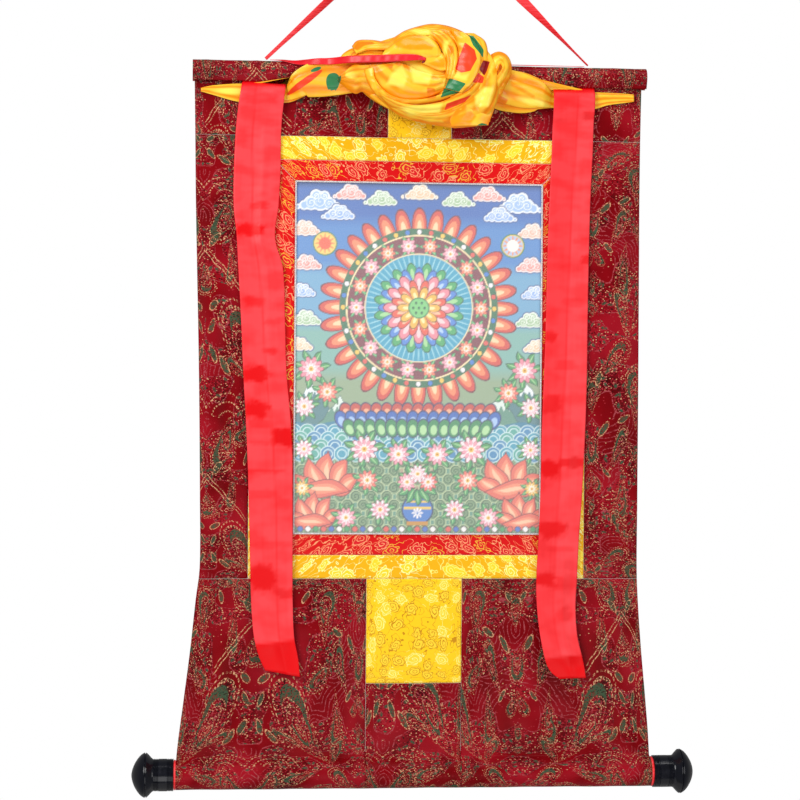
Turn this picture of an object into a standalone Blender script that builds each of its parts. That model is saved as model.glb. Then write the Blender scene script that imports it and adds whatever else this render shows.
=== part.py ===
"""Thangka scroll painting hung from a nail by its ribbon, in metres.

The origin is the nail, +Z is up, and the picture faces -Y. Every height is counted from the nail.
"""
import math

import bmesh
import bpy
from mathutils import Matrix, Vector

MM = 0.001

# Driving sizes
CENTRE_X = -9 * MM             # middle of the cloth, left of the nail
CLOTH = 2.0 * MM               # brocade with its backing
RIBBON_CLOTH = 1.2 * MM        # satin ribbon, folded double
GAP = 0.3 * MM                 # between pieces that meet
WRAP_GAP = 0.4 * MM            # between a rod and the hem round it

HEADING_TOP = -193.5 * MM
HEADING_SEAM = -219.5 * MM
FRAME_TOP = -285 * MM
FRAME_BOTTOM = -827 * MM
TAB_BOTTOM = -955.5 * MM
HEM_STITCH = -1045.5 * MM
HEM_LOW = -1085 * MM

FRAME_HALF = 207.5 * MM        # half width of the outer yellow frame
YELLOW_BAND = 29 * MM
RED_BAND = 26.5 * MM
UPPER_TAB = (-39.5 * MM, 39 * MM)
LOWER_TAB = (-62 * MM, 56 * MM)
EDGING = 2.4 * MM              # thickness of the twisted cord round the picture
EDGING_STEP = 34 * MM          # between the points of its route

ROD_RADIUS = 10 * MM
ROD_SHORT = 2 * MM             # how far the rod ends inside the heading
HEADING_ENDS = (-279 * MM, 281 * MM)
TAIL_LAYER = 2.4 * MM          # the veil's tails, where the heading's front lies over them
ROLLER_RADIUS = 16.2 * MM
HEM_ALLOWANCE = 5 * MM         # how far the hem goes on above its stitches, at the back
HEM_OPEN = 1.4 * MM            # how far its edge stands off there
KNOB_FACE = 296 * MM           # where a knob starts, from the middle of the cloth
CUFF_WALL = 1.8 * MM

# A knob's outline: how far from its inner face, and the radius there
KNOB_COLUMNS = ("along", "radius")
KNOB_ROWS = (
    (0, 0), (0, 19.2), (0.5, 19.7), (12, 19.5), (24.5, 19.7), (27, 21.2), (30, 24.6),
    (32.6, 27.0), (33.4, 26.9), (34.0, 26.0), (34.6, 27.3), (37.5, 25.9), (41.5, 22.4),
    (45.5, 16.8), (48.6, 10.6), (50.4, 5.0), (51, 0),
)

# The sides of the cloth: it draws in beside the picture and flares over the skirt
EDGE_COLUMNS = ("z", "left", "right")
EDGE_ROWS = (
    (-216, -276.6, 275.8),
    (-285, -275.3, 274.8),
    (-365, -274.0, 274.3),
    (-572, -268.7, 274.5),
    (-731, -266.3, 274.8),
    (-812, -266.0, 274.6),
    (-853, -270.6, 276.2),
    (-914, -276.9, 280.4),
    (-975, -284.4, 286.0),
    (-1044, -292.6, 291.6),
    (-1086, -293.0, 292.8),
)

# Soft folds of the hanging cloth: each runs down from top to bottom, leans by so much over its
# length, and stands out to the front by its height, or back where that is negative
FOLD_COLUMNS = ("x", "top", "bottom", "half", "height", "lean")
FOLD_ROWS = (
    (-252, -300, -960, 17, 3.5, -10),
    (-236, -420, -860, 9, -1.8, 4),
    (246, -290, -700, 20, 3.0, 6),
    (262, -560, -940, 15, -2.2, -4),
    (0, -300, -830, 150, 2.2, 0),
    (-120, -225, -320, 34, 2.0, 8),
    (112, -225, -310, 28, -1.6, -6),
    (-226, -850, -1046, 26, 6.0, -26),
    (-178, -900, -1046, 17, -4.0, -22),
    (-128, -835, -1046, 30, 4.2, -14),
    (-84, -930, -1046, 16, -2.6, -5),
    (-20, -850, -1046, 34, 3.0, 4),
    (74, -840, -1046, 24, -2.4, 8),
    (128, -860, -1046, 26, 4.6, 16),
    (186, -905, -1046, 19, -4.6, 30),
    (236, -840, -1046, 24, 5.6, 30),
)

# The two ribbons: their two edges, how far they stand off the cloth, how much lower their right
# edge lies, and the depth of the crease that runs down them
RIBBON_COLUMNS = ("z", "left", "right", "out", "drop", "crease")
RIBBON_LEFT_ROWS = (
    (-217.2, -218.2, -165.2, 3.5, 0, 0.0),
    (-219.8, -218.7, -165.3, 3.5, 0, 0.0),
    (-222.4, -219.2, -165.6, 5.2, 0, 0.0),
    (-227.4, -219.9, -166.1, 10.2, 0, 0.3),
    (-237, -221.4, -167.4, 12.6, 0, 0.8),
    (-251, -223.4, -168.8, 11.0, 0, 1.0),
    (-268, -225.2, -170.3, 6.6, 0, 1.2),
    (-286, -226.6, -171.1, 5.0, 0, 1.4),
    (-329, -228.2, -171.4, 4.6, 0, 1.8),
    (-371, -228.2, -173.5, 5.6, 0, 2.6),
    (-410, -224.2, -177.5, 6.8, 0, 3.4),
    (-448, -221.9, -167.5, 5.8, 0, 2.2),
    (-511, -218.1, -164.5, 4.6, 0, 1.2),
    (-572, -215.2, -162.4, 4.8, 0, 1.4),
    (-653, -210.3, -155.3, 6.8, 0, 1.6),
    (-731, -207.2, -153.7, 7.4, 0, 1.2),
    (-804, -205.0, -153.1, 7.2, 0, 1.4),
    (-853, -203.4, -152.7, 7.6, 0, 2.0),
    (-896, -199.8, -150.7, 9.0, 1, 2.4),
    (-921, -193.4, -145.6, 11.5, 3, 1.8),
    (-938, -185.7, -143.6, 14.0, 7, 0.6),
)
RIBBON_RIGHT_ROWS = (
    (-217.2, 164.4, 216.0, 3.5, 0, 0.0),
    (-219.8, 164.3, 215.9, 3.5, 0, 0.0),
    (-222.4, 164.3, 215.8, 5.2, 0, 0.0),
    (-227.4, 164.2, 215.7, 10.2, 0, 0.3),
    (-237, 164.0, 215.5, 12.6, 0, 0.8),
    (-251, 163.8, 215.2, 11.0, 0, 1.0),
    (-268, 163.6, 214.8, 6.6, 0, 1.2),
    (-297, 163.1, 214.4, 5.0, 0, 1.4),
    (-359, 160.7, 211.9, 4.6, 0, 1.2),
    (-421, 158.6, 210.5, 5.0, 0, 1.4),
    (-520, 156.9, 209.4, 4.6, 0, 1.0),
    (-569, 155.4, 209.1, 5.6, 0, 1.4),
    (-643, 152.8, 207.2, 7.0, 0, 1.8),
    (-729, 151.4, 203.3, 7.2, 0, 1.2),
    (-779, 149.5, 200.1, 7.2, 0, 1.4),
    (-828, 147.4, 198.3, 7.0, 0, 2.0),
    (-860, 148.3, 196.7, 7.6, 0, 2.4),
    (-897, 152.3, 198.9, 9.6, 0, 2.0),
    (-930, 163.4, 207.6, 12.5, 2, 1.2),
    (-949.5, 178.3, 208.4, 15.0, -1, 0.4),
)

# The knotted veil: rolls of gathered satin. Each row is a section of one roll, at its middle,
# with its half width across the roll, its half thickness and the turn of its upper side forward
ROLL_COLUMNS = ("x", "y", "z", "half", "thick", "turn")
VEIL_ROLLS = {
    "left tail": (
        (-269, -2.7, -231, 2.4, 1.3, 0),
        (-252, -2.8, -231.5, 6.0, 1.4, 0),
        (-222, -3.2, -233.8, 10.6, 1.6, 0),
        (-191, -3.4, -234.6, 10.8, 1.7, 0),
        (-171, -3.8, -234.6, 10.0, 1.8, 0),
        (-162, -4.8, -234, 10.2, 2.0, 0),
        (-153, -12.6, -229, 13.0, 2.8, 6),
        (-146, -15.6, -224, 17.5, 3.4, 14),
        (-130, -18.2, -218.5, 20.5, 4.2, 12),
        (-111, -20.0, -215, 21.0, 5.2, 8),
        (-93, -22.0, -211, 22.0, 6.4, 4),
        (-77, -24.0, -205, 26.0, 8.0, 0),
        (-50, -27.0, -204, 29.0, 11.0, 0),
    ),
    "right tail": (
        (86, -27.0, -222, 20.0, 10.0, 0),
        (98, -22.0, -225, 23.0, 7.0, 8),
        (111, -20.0, -227, 23.6, 6.0, 12),
        (127, -18.0, -229.5, 23.0, 5.0, 12),
        (144, -15.4, -231.4, 19.0, 3.8, 10),
        (152, -12.4, -233.2, 14.6, 2.9, 4),
        (161, -5.0, -234.6, 11.0, 2.0, 0),
        (170.5, -3.8, -235, 10.2, 1.8, 0),
        (189, -3.4, -235, 10.4, 1.7, 0),
        (214, -3.2, -235, 9.8, 1.6, 0),
        (231, -3.0, -232.6, 7.4, 1.6, 0),
        (251, -2.8, -231.2, 5.8, 1.4, 0),
        (266, -2.7, -230.6, 4.6, 1.3, 0),
    ),
    "core": (
        (-62, -27, -206, 16, 8, 0),
        (-30, -31, -208, 34, 14, 0),
        (10, -33, -210, 42, 17, 0),
        (50, -32, -217, 44, 15, 0),
        (86, -29, -216, 30, 9, 0),
    ),
    "crown": (
        (-79, -24, -190, 12, 6, 0),
        (-60, -28, -178, 13, 9, 0),
        (-37, -31, -178, 14, 12, 0),
        (-8, -33, -169, 18, 14, 0),
        (22, -34, -167, 20, 15, 0),
        (48, -34, -179, 20, 14, 0),
        (62, -33, -200, 18, 12, 0),
    ),
    "outer wrap": (
        (58, -36, -180, 13, 9, 0),
        (72, -39, -200, 15, 10, 0),
        (76, -40, -222, 16, 10, 0),
        (74, -38, -244, 14, 9, 0),
        (68, -34, -258, 11, 7, 0),
    ),
    "lower sash": (
        (-73, -25, -216, 11, 7, 0),
        (-58, -28, -233, 10, 8, 0),
        (-34, -31, -247, 10, 9, 0),
        (0, -33, -258, 10, 9, 0),
        (36, -33, -264, 9.5, 8, 0),
        (66, -31, -263, 8, 6, 0),
        (82, -28, -261, 6, 4, 0),
    ),
    "middle swag": (
        (-56, -32, -206, 8, 6, 0),
        (-44, -38, -226, 8, 7, 0),
        (-16, -43, -241, 8, 8, 0),
        (20, -44, -247, 8, 8, 0),
        (54, -42, -236, 8, 7, 0),
        (72, -40, -214, 7, 6, 0),
    ),
    "inner swag": (
        (-34, -40, -202, 10, 7, 0),
        (-18, -45, -214, 12, 8, 0),
        (6, -47, -221, 13, 8, 0),
        (30, -46, -216, 12, 8, 0),
        (48, -42, -202, 9, 6, 0),
    ),
    "brow fold": (
        (-66, -30, -187, 6, 5, 0),
        (-42, -38, -186, 7, 6, 0),
        (-18, -42, -184, 7, 6, 0),
        (2, -44, -180, 7, 6, 0),
        (22, -45, -178, 7, 6, 0),
        (36, -42, -184, 6, 5, 0),
    ),
    "eye lobe": (
        (6, -44, -193, 5, 5, 0),
        (18, -48, -195, 8, 6, 0),
        (32, -46, -200, 7, 5, 0),
    ),
    "right lobe": (
        (84, -30, -190, 7, 6, 0),
        (96, -34, -190, 9, 8, 0),
        (102, -35, -202, 10, 9, 0),
        (98, -34, -218, 11, 8, 0),
        (88, -32, -238, 11, 7, 0),
        (83, -28, -257, 8, 4, 0),
    ),
}
VEIL_VOXEL = 1.6 * MM
VEIL_KEEP = 0.065              # share of the veil's faces that its main folds need

# The flat red tie that holds the knot, and the one along the top of the heading
TIE_COLUMNS = ("x", "y", "z", "half", "turn")
VEIL_TIE_ROWS = (
    (-185, -2.4, -192.75, 1.6, 84),
    (-170, -5.8, -193.7, 2.4, 64),
    (-155, -11.4, -196.6, 3.2, 40),
    (-141, -21.0, -197.6, 3.6, 18),
    (-128, -27.4, -197.4, 3.9, 10),
    (-112, -28.4, -197.0, 4.2, 6),
    (-92, -31.4, -196.4, 4.3, 4),
    (-72, -35.6, -195.4, 4.3, 2),
    (-50, -42.6, -194.4, 4.3, 0),
    (-28, -48.3, -193.2, 4.2, 0),
    (-10, -50.2, -191.4, 3.6, 0),
    (3, -50.4, -192.2, 1.6, 0),
)
ROD_RIBBON_ROWS = (
    (66, -2.6, -192.75, 4.0, 78),
    (110, -2.6, -192.75, 4.0, 78),
    (160, -2.4, -192.75, 4.0, 79),
    (203, -1.8, -192.65, 2.6, 82),
)

# The hanging ribbon. Each leg is narrow and turned at the heading, and lies flat over the nail
CORD_ANCHOR = (199.4 * MM, -191.3 * MM)
CORD_HALF = 6.0 * MM
CORD_THICK = 0.6 * MM
CORD_POINTS = 12               # on each leg
NAIL_BEND = (7 * MM, -3.4 * MM)    # share of the slope, and the height, where it bends over the nail
CORD_LEG_COLUMNS = ("side", "low share", "low twist", "middle twist")
CORD_LEG_ROWS = (
    (-1, 0.36, 20, 52),
    (1, 0.36, 78, 4),
)

MATERIALS = {
    "maroon_brocade": ("#8C1428", 0.55, 0.0),
    "yellow_brocade": ("#F0BE1E", 0.50, 0.0),
    "pale_yellow_brocade": ("#FADC50", 0.50, 0.0),
    "red_brocade": ("#D80F1E", 0.55, 0.0),
    "picture_cloth": ("#7FA6B8", 0.70, 0.0),
    "silver_cord": ("#DADADA", 0.35, 0.3),
    "red_satin": ("#F0333C", 0.38, 0.0),
    "yellow_satin": ("#FFC43A", 0.35, 0.0),
    "black_lacquer": ("#15161F", 0.25, 0.0),
    "pale_wood": ("#B98C5A", 0.60, 0.0),
}


def linear(value):
    """One sRGB channel as the linear value that a shader takes."""
    return value / 12.92 if value <= 0.04045 else ((value + 0.055) / 1.055) ** 2.4


def material(name):
    """The material of that name, made on first use."""
    found = bpy.data.materials.get(name)
    if found:
        return found
    colour, roughness, metallic = MATERIALS[name]
    made = bpy.data.materials.new(name)
    made.use_nodes = True
    shader = made.node_tree.nodes["Principled BSDF"]
    channels = [linear(int(colour[i:i + 2], 16) / 255) for i in (1, 3, 5)]
    shader.inputs["Base Color"].default_value = (*channels, 1.0)
    shader.inputs["Roughness"].default_value = roughness
    shader.inputs["Metallic"].default_value = metallic
    return made


def between(low, high, share):
    return low + (high - low) * share


def ease(share):
    """0 to 1 with soft ends."""
    share = min(max(share, 0.0), 1.0)
    return share * share * (3 - 2 * share)


def smooth_value(rows, column, key, at):
    """Read a column of a table at a value of its key column, along a smooth curve."""
    keys = [row[key] for row in rows]
    rising = keys[-1] > keys[0]
    last = len(rows) - 2
    index = 0
    while index < last and ((at > keys[index + 1]) == rising) and at != keys[index + 1]:
        index += 1
    start, end = rows[index], rows[index + 1]
    span = end[key] - start[key]
    share = min(max((at - start[key]) / span, 0.0), 1.0)

    def slope(middle):
        before = rows[max(middle - 1, 0)]
        after = rows[min(middle + 1, len(rows) - 1)]
        return (after[column] - before[column]) / (after[key] - before[key]) * span

    square, cube = share * share, share ** 3
    return ((2 * cube - 3 * square + 1) * start[column]
            + (cube - 2 * square + share) * slope(index)
            + (3 * square - 2 * cube) * end[column]
            + (cube - square) * slope(index + 1))


def side(column, z):
    """X of the cloth's left or right side at a height."""
    z = max(min(z / MM, EDGE_ROWS[0][0]), EDGE_ROWS[-1][0])
    return smooth_value(EDGE_ROWS, EDGE_COLUMNS.index(column), 0, z) * MM


def left_side(z):
    return side("left", z)


def right_side(z):
    return side("right", z)


def drape(x, z):
    """Y of the hanging cloth's middle layer: the sum of its soft folds."""
    x, z = x / MM, z / MM
    total = 0.0
    for row in FOLD_ROWS:
        fold = dict(zip(FOLD_COLUMNS, row))
        share = (fold["top"] - z) / (fold["top"] - fold["bottom"])
        if not 0.0 < share < 1.0:
            continue
        strength = ease(share / 0.35) * ease((1 - share) / 0.18)
        away = (x - fold["x"] - fold["lean"] * share) / fold["half"]
        total -= fold["height"] * strength * math.exp(-away * away)
    return total * MM


def new_object(name, mesh, finish):
    mesh.materials.append(material(finish))
    made = bpy.data.objects.new(name, mesh)
    scroll_parts.objects.link(made)
    made.parent = scroll
    return made


def cloth_sheet(name, across, down, place, finish, thickness=CLOTH):
    """A grid laid by place(share across, share down), with the cloth's thickness."""
    grid = bmesh.new()
    bmesh.ops.create_grid(grid, x_segments=across, y_segments=down, size=0.5)
    for vert in grid.verts:
        vert.co = place(vert.co.x + 0.5, 0.5 - vert.co.y)
    mesh = bpy.data.meshes.new(name)
    grid.to_mesh(mesh)
    grid.free()
    mesh.shade_smooth()
    sheet = new_object(name, mesh, finish)
    solid = sheet.modifiers.new("Cloth thickness", "SOLIDIFY")
    solid.thickness = thickness
    solid.offset = 0.0
    return sheet


def panel(name, left, right, top, bottom, across, down, finish):
    """A panel between two sides, which are numbers or functions of the height."""
    inset = GAP / 2

    def place(u, v):
        z = between(top - inset, bottom + inset, v)
        start = (left(z) if callable(left) else left + inset)
        end = (right(z) if callable(right) else right - inset)
        x = between(start, end, u)
        return Vector((x, drape(x, z), z))

    return cloth_sheet(name, across, down, place, finish)


def frame_band(name, place_on, half_x, top, bottom, width, finish, across):
    """One mitred band of a frame; place_on is the side of the frame that it makes."""
    mitre = GAP * 0.75
    inset = GAP / 2

    def place(u, v):
        depth = between(inset, width - inset, v)
        if place_on in ("top", "bottom"):
            reach = half_x - depth - mitre
            sign = 1 if place_on == "top" else -1
            x = sign * between(-reach, reach, u)
            z = top - depth if place_on == "top" else bottom + depth
        else:
            sign = 1 if place_on == "right" else -1
            high, low = top - depth - mitre, bottom + depth + mitre
            z = between(high, low, u) if place_on == "right" else between(low, high, u)
            x = sign * (half_x - depth)
        return Vector((x, drape(x, z), z))

    return cloth_sheet(name, across, 2, place, finish)


def wrap_path(start, end, axis, radius, steps, first_turn):
    """Points of a hem that runs from start round a rod to end, in (y, z)."""
    def tangent(point, turn):
        away = math.hypot(point[0] - axis[0], point[1] - axis[1])
        angle = math.atan2(point[1] - axis[1], point[0] - axis[0])
        return angle + turn * math.acos(radius / away)

    first = tangent(start, first_turn)
    last = tangent(end, -first_turn)
    sweep = (last - first) % (2 * math.pi)
    if first_turn < 0:
        sweep -= 2 * math.pi
    points = [start]
    for step in range(steps + 1):
        angle = first + sweep * step / steps
        points.append((axis[0] + radius * math.cos(angle), axis[1] + radius * math.sin(angle)))
    points.append(end)
    return points


def turned(name, profile, steps, finish, spot, outward, closed=False):
    """A turned piece: rows of (distance along the axis, radius), on an axis along X."""
    mesh = bpy.data.meshes.new(name)
    edges = [(i, i + 1) for i in range(len(profile) - 1)]
    if closed:
        edges.append((len(profile) - 1, 0))
    mesh.from_pydata([(radius, 0, along) for along, radius in profile], edges, [])
    made = new_object(name, mesh, finish)
    screw = made.modifiers.new("Lathe", "SCREW")
    screw.steps = screw.render_steps = steps
    screw.use_merge_vertices = True
    screw.merge_threshold = 0.00005
    screw.use_smooth_shade = True
    made.location = spot
    made.rotation_euler = (0, math.radians(90 * outward), 0)
    return made


def rod(name, radius, start, end, axis, steps, finish):
    """A plain round rod along X."""
    shape = bmesh.new()
    turn = Matrix.Translation((between(start, end, 0.5), *axis)) @ Matrix.Rotation(math.pi / 2, 4, "Y")
    bmesh.ops.create_cone(shape, cap_ends=True, segments=steps, radius1=radius, radius2=radius,
                          depth=end - start, matrix=turn)
    mesh = bpy.data.meshes.new(name)
    shape.to_mesh(mesh)
    shape.free()
    mesh.shade_smooth()
    mesh.set_sharp_from_angle(angle=math.radians(40))
    return new_object(name, mesh, finish)


def make_heading():
    """The strip folded over the top rod: its back lies on the panels, its front on the ribbons."""
    axis = (0.0, HEADING_TOP - CLOTH - WRAP_GAP - ROD_RADIUS)
    radius = ROD_RADIUS + WRAP_GAP + CLOTH / 2
    back = CLOTH + GAP
    front = -(CLOTH + GAP * 3 + TAIL_LAYER + RIBBON_CLOTH)
    path = wrap_path((front, HEADING_SEAM), (back, HEADING_SEAM), axis, radius, 13, -1)
    left, right = HEADING_ENDS

    # The path runs up the front and down the back, so it is read from its end to face outwards
    def place(u, v):
        y, z = path[round((1 - v) * (len(path) - 1))]
        return Vector((between(left, right, u), y, z))

    cloth_sheet("heading", 10, len(path) - 1, place, "maroon_brocade")
    rod("top_rod", ROD_RADIUS, left + ROD_SHORT, right - ROD_SHORT, axis, 20, "pale_wood")
    return axis


def make_skirt_panel(name, left, right, top, across, down, axis):
    """A skirt panel that hangs to the roller and is hemmed round it."""
    radius = ROLLER_RADIUS + WRAP_GAP + CLOTH / 2
    back = CLOTH + GAP
    loop = wrap_path((0.0, HEM_STITCH), (back, HEM_STITCH), axis, radius, 15, 1)
    loop.append((back + HEM_OPEN, HEM_STITCH + HEM_ALLOWANCE))
    rows = down + len(loop) - 1
    inset = GAP / 2

    def place(u, v):
        row = round(v * rows)
        if row < down:
            z = between(top - inset, HEM_STITCH, row / down)
            y = None
        else:
            y, z = loop[row - down]
        start = left(z) if callable(left) else left + inset
        end = right(z) if callable(right) else right - inset
        x = between(start, end, u)
        return Vector((x, drape(x, z) if y is None else y, z))

    cloth_sheet(name, across, rows, place, "maroon_brocade")


def make_roller(axis):
    """The roller, its two turned knobs and the red cuffs that show beside the hem."""
    knob_profile = [(along * MM, radius * MM) for along, radius in reversed(KNOB_ROWS)]
    inside = ROLLER_RADIUS + WRAP_GAP
    rod("roller", ROLLER_RADIUS, -KNOB_FACE + GAP, KNOB_FACE - GAP, axis, 28, "pale_wood")
    for name, outward, hem in (("left", -1, -left_side(HEM_LOW)), ("right", 1, right_side(HEM_LOW))):
        spot = (outward * KNOB_FACE, *axis)
        turned("knob_" + name, knob_profile, 24, "black_lacquer", spot, outward)
        near, far = hem + GAP - KNOB_FACE, -GAP
        cuff = [(far, inside), (far, inside + CUFF_WALL), (near, inside + CUFF_WALL), (near, inside)]
        turned("cuff_" + name, cuff, 28, "red_satin", spot, outward, closed=True)


def make_ribbon(name, rows):
    """A ribbon that is sewn in under the heading and hangs free in front of the cloth."""
    column = {title: index for index, title in enumerate(RIBBON_COLUMNS)}
    down, across = 34, 5
    front = CLOTH / 2

    def place(u, v):
        # The stations are close together near the top, where the ribbon bends over the veil
        z = between(rows[0][0], rows[-1][0], v ** 1.6)
        edge = {title: smooth_value(rows, column[title], 0, z) for title in RIBBON_COLUMNS[1:]}
        x = between(edge["left"], edge["right"], u)
        crease = edge["crease"] * (math.exp(-((u - 0.64) / 0.16) ** 2) - 0.5 * u)
        y = drape(x * MM, z * MM) - front - (edge["out"] + crease) * MM
        return Vector((x * MM, y, (z - edge["drop"] * u) * MM))

    cloth_sheet(name, across, down, place, "red_satin", RIBBON_CLOTH)


def roll_section(shape, row, direction):
    """One ring of a roll of cloth, across its direction."""
    section = dict(zip(ROLL_COLUMNS, row))
    across = Vector((-direction.z, 0, direction.x)).normalized()
    depth = across.cross(direction).normalized()
    turn = Matrix.Rotation(math.radians(section["turn"]), 3, direction)
    across, depth = turn @ across, turn @ depth
    frame = Matrix((across * section["half"] * MM, depth * section["thick"] * MM, direction))
    place = Matrix.Translation(Vector([section[c] * MM for c in "xyz"])) @ frame.transposed().to_4x4()
    ring = bmesh.ops.create_circle(shape, cap_ends=False, radius=1.0, segments=16, matrix=place)
    return ring["verts"]


def make_veil():
    """The gathered and knotted satin, one cloth: its rolls run into each other."""
    shape = bmesh.new()
    for rows in VEIL_ROLLS.values():
        steps = (len(rows) - 1) * 3
        length_key = [(index,) + row for index, row in enumerate(rows)]
        stations = []
        for step in range(steps + 1):
            at = step / 3
            stations.append([smooth_value(length_key, c + 1, 0, at) for c in range(len(ROLL_COLUMNS))])
        rings = []
        for index, row in enumerate(stations):
            before = Vector(stations[max(index - 1, 0)][:3])
            after = Vector(stations[min(index + 1, steps)][:3])
            rings.append(roll_section(shape, row, (after - before).normalized()))
        for first, second in zip(rings, rings[1:]):
            loops = {edge for vert in first + second for edge in vert.link_edges
                     if all(end in first for end in edge.verts) or all(end in second for end in edge.verts)}
            bmesh.ops.bridge_loops(shape, edges=list(loops))
        for ring in (rings[0], rings[-1]):
            bmesh.ops.contextual_create(shape, geom=ring)
    bmesh.ops.recalc_face_normals(shape, faces=shape.faces)
    mesh = bpy.data.meshes.new("veil")
    shape.to_mesh(mesh)
    shape.free()
    veil = new_object("veil", mesh, "yellow_satin")
    fuse = veil.modifiers.new("One cloth", "REMESH")
    fuse.mode = "VOXEL"
    fuse.voxel_size = VEIL_VOXEL
    fuse.use_smooth_shade = True
    soften = veil.modifiers.new("Soft folds", "SMOOTH")
    soften.factor = 0.5
    soften.iterations = 2
    thin = veil.modifiers.new("Main folds only", "DECIMATE")
    thin.ratio = VEIL_KEEP
    thin.use_collapse_triangulate = True


def make_tie(name, rows, down):
    """A flat tie along a route; a turn of 90 lays it flat on top of what it crosses."""
    column = {title: index for index, title in enumerate(TIE_COLUMNS)}

    def place(u, v):
        x = between(rows[0][0], rows[-1][0], u)
        at = {title: smooth_value(rows, column[title], 0, x) for title in TIE_COLUMNS[1:]}
        offset = between(at["half"], -at["half"], v)
        turn = math.radians(at["turn"])
        return Vector((x, at["y"] + offset * math.sin(turn), at["z"] + offset * math.cos(turn))) * MM

    cloth_sheet(name, down, 2, place, "red_satin", RIBBON_CLOTH)


def curve_object(name, points, finish, cyclic, thickness, width=0.0):
    """A poly curve through (point, radius share, twist) rows; flat where it has a width."""
    data = bpy.data.curves.new(name, "CURVE")
    data.dimensions = "3D"
    data.bevel_depth = thickness
    data.bevel_resolution = 1
    data.extrude = width
    data.use_fill_caps = not cyclic
    data.twist_mode = "MINIMUM"
    spline = data.splines.new("POLY")
    spline.points.add(len(points) - 1)
    for point, (place, share, twist) in zip(spline.points, points):
        point.co = (*place, 1.0)
        point.radius = share
        point.tilt = math.radians(twist)
    spline.use_cyclic_u = cyclic
    data.materials.append(material(finish))
    made = bpy.data.objects.new(name, data)
    scroll_parts.objects.link(made)
    return made


def make_edging():
    """The twisted cord that is sewn on round the picture."""
    half = FRAME_HALF - YELLOW_BAND - RED_BAND
    top = FRAME_TOP - YELLOW_BAND - RED_BAND
    bottom = FRAME_BOTTOM + YELLOW_BAND + RED_BAND
    corners = [(-half, top), (half, top), (half, bottom), (-half, bottom)]
    out = CLOTH / 2 + GAP + EDGING / 2
    points = []
    for index, start in enumerate(corners):
        end = corners[(index + 1) % 4]
        steps = round(math.dist(start, end) / EDGING_STEP)
        for step in range(steps):
            x, z = (between(start[i], end[i], step / steps) for i in range(2))
            points.append((Vector((x, drape(x, z) - out, z)), 1.0, 0))
    edging = curve_object("edging_cord", points, "silver_cord", True, EDGING / 2)
    edging.parent = scroll


def hanging_route():
    """The hanging ribbon's points from one end of the heading over the nail to the other end."""
    anchor_x, anchor_z = CORD_ANCHOR
    bend_reach, bend_z = NAIL_BEND
    bend_x = bend_reach * anchor_x / math.hypot(anchor_x, anchor_z)
    legs = []
    for row in CORD_LEG_ROWS:
        leg = dict(zip(CORD_LEG_COLUMNS, row))
        run = []
        for step in range(CORD_POINTS):
            share = step / CORD_POINTS
            width = between(leg["low share"], 1.0, ease(share / 0.5))
            twist = between(leg["low twist"], leg["middle twist"], ease(share / 0.6))
            twist = between(twist, 90, ease((share - 0.72) / 0.25))
            rise = CORD_THICK * share ** 0.6
            place = Vector((leg["side"] * anchor_x * (1 - share), 0, anchor_z * (1 - share) + rise))
            run.append((place, width, twist))
        run.append((Vector((leg["side"] * bend_x, 0, bend_z)), 1.0, 90))
        legs.append(run)
    return legs[0] + [(Vector((0, 0, CORD_THICK)), 1.0, 90)] + legs[1][::-1]


for leftover in list(bpy.data.objects):
    bpy.data.objects.remove(leftover, do_unlink=True)

scroll_parts = bpy.data.collections.new("Thangka scroll")
bpy.context.scene.collection.children.link(scroll_parts)
scroll = bpy.data.objects.new("scroll_middle", None)
scroll.location = (CENTRE_X, 0, 0)
scroll_parts.objects.link(scroll)

rod_axis = make_heading()
panel_top = rod_axis[1] - ROD_RADIUS - WRAP_GAP
panel("panel_top_left", left_side, UPPER_TAB[0], panel_top, FRAME_TOP, 8, 3, "maroon_brocade")
panel("tab_upper", *UPPER_TAB, panel_top, FRAME_TOP, 4, 3, "pale_yellow_brocade")
panel("panel_top_right", UPPER_TAB[1], right_side, panel_top, FRAME_TOP, 8, 3, "maroon_brocade")
panel("side_left", left_side, -FRAME_HALF, FRAME_TOP, FRAME_BOTTOM, 4, 18, "maroon_brocade")
panel("side_right", FRAME_HALF, right_side, FRAME_TOP, FRAME_BOTTOM, 4, 18, "maroon_brocade")

for sort, half, width, finish in (
        ("yellow", FRAME_HALF, YELLOW_BAND, "yellow_brocade"),
        ("red", FRAME_HALF - YELLOW_BAND, RED_BAND, "red_brocade")):
    step_in = FRAME_HALF - half
    for where, faces in (("top", 12), ("bottom", 12), ("left", 14), ("right", 14)):
        frame_band(f"band_{sort}_{where}", where, half, FRAME_TOP - step_in,
                   FRAME_BOTTOM + step_in, width, finish, faces)

picture_inset = YELLOW_BAND + RED_BAND
panel("painting", -FRAME_HALF + picture_inset, FRAME_HALF - picture_inset,
      FRAME_TOP - picture_inset, FRAME_BOTTOM + picture_inset, 8, 12, "picture_cloth")
make_edging()

panel("tab_lower", *LOWER_TAB, FRAME_BOTTOM, TAB_BOTTOM, 5, 5, "pale_yellow_brocade")
roller_axis = ((CLOTH + GAP) / 2, HEM_LOW + CLOTH + WRAP_GAP + ROLLER_RADIUS)
make_skirt_panel("skirt_left", left_side, LOWER_TAB[0], FRAME_BOTTOM, 9, 8, roller_axis)
make_skirt_panel("skirt_middle", *LOWER_TAB, TAB_BOTTOM, 4, 4, roller_axis)
make_skirt_panel("skirt_right", LOWER_TAB[1], right_side, FRAME_BOTTOM, 9, 8, roller_axis)
make_roller(roller_axis)

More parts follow.
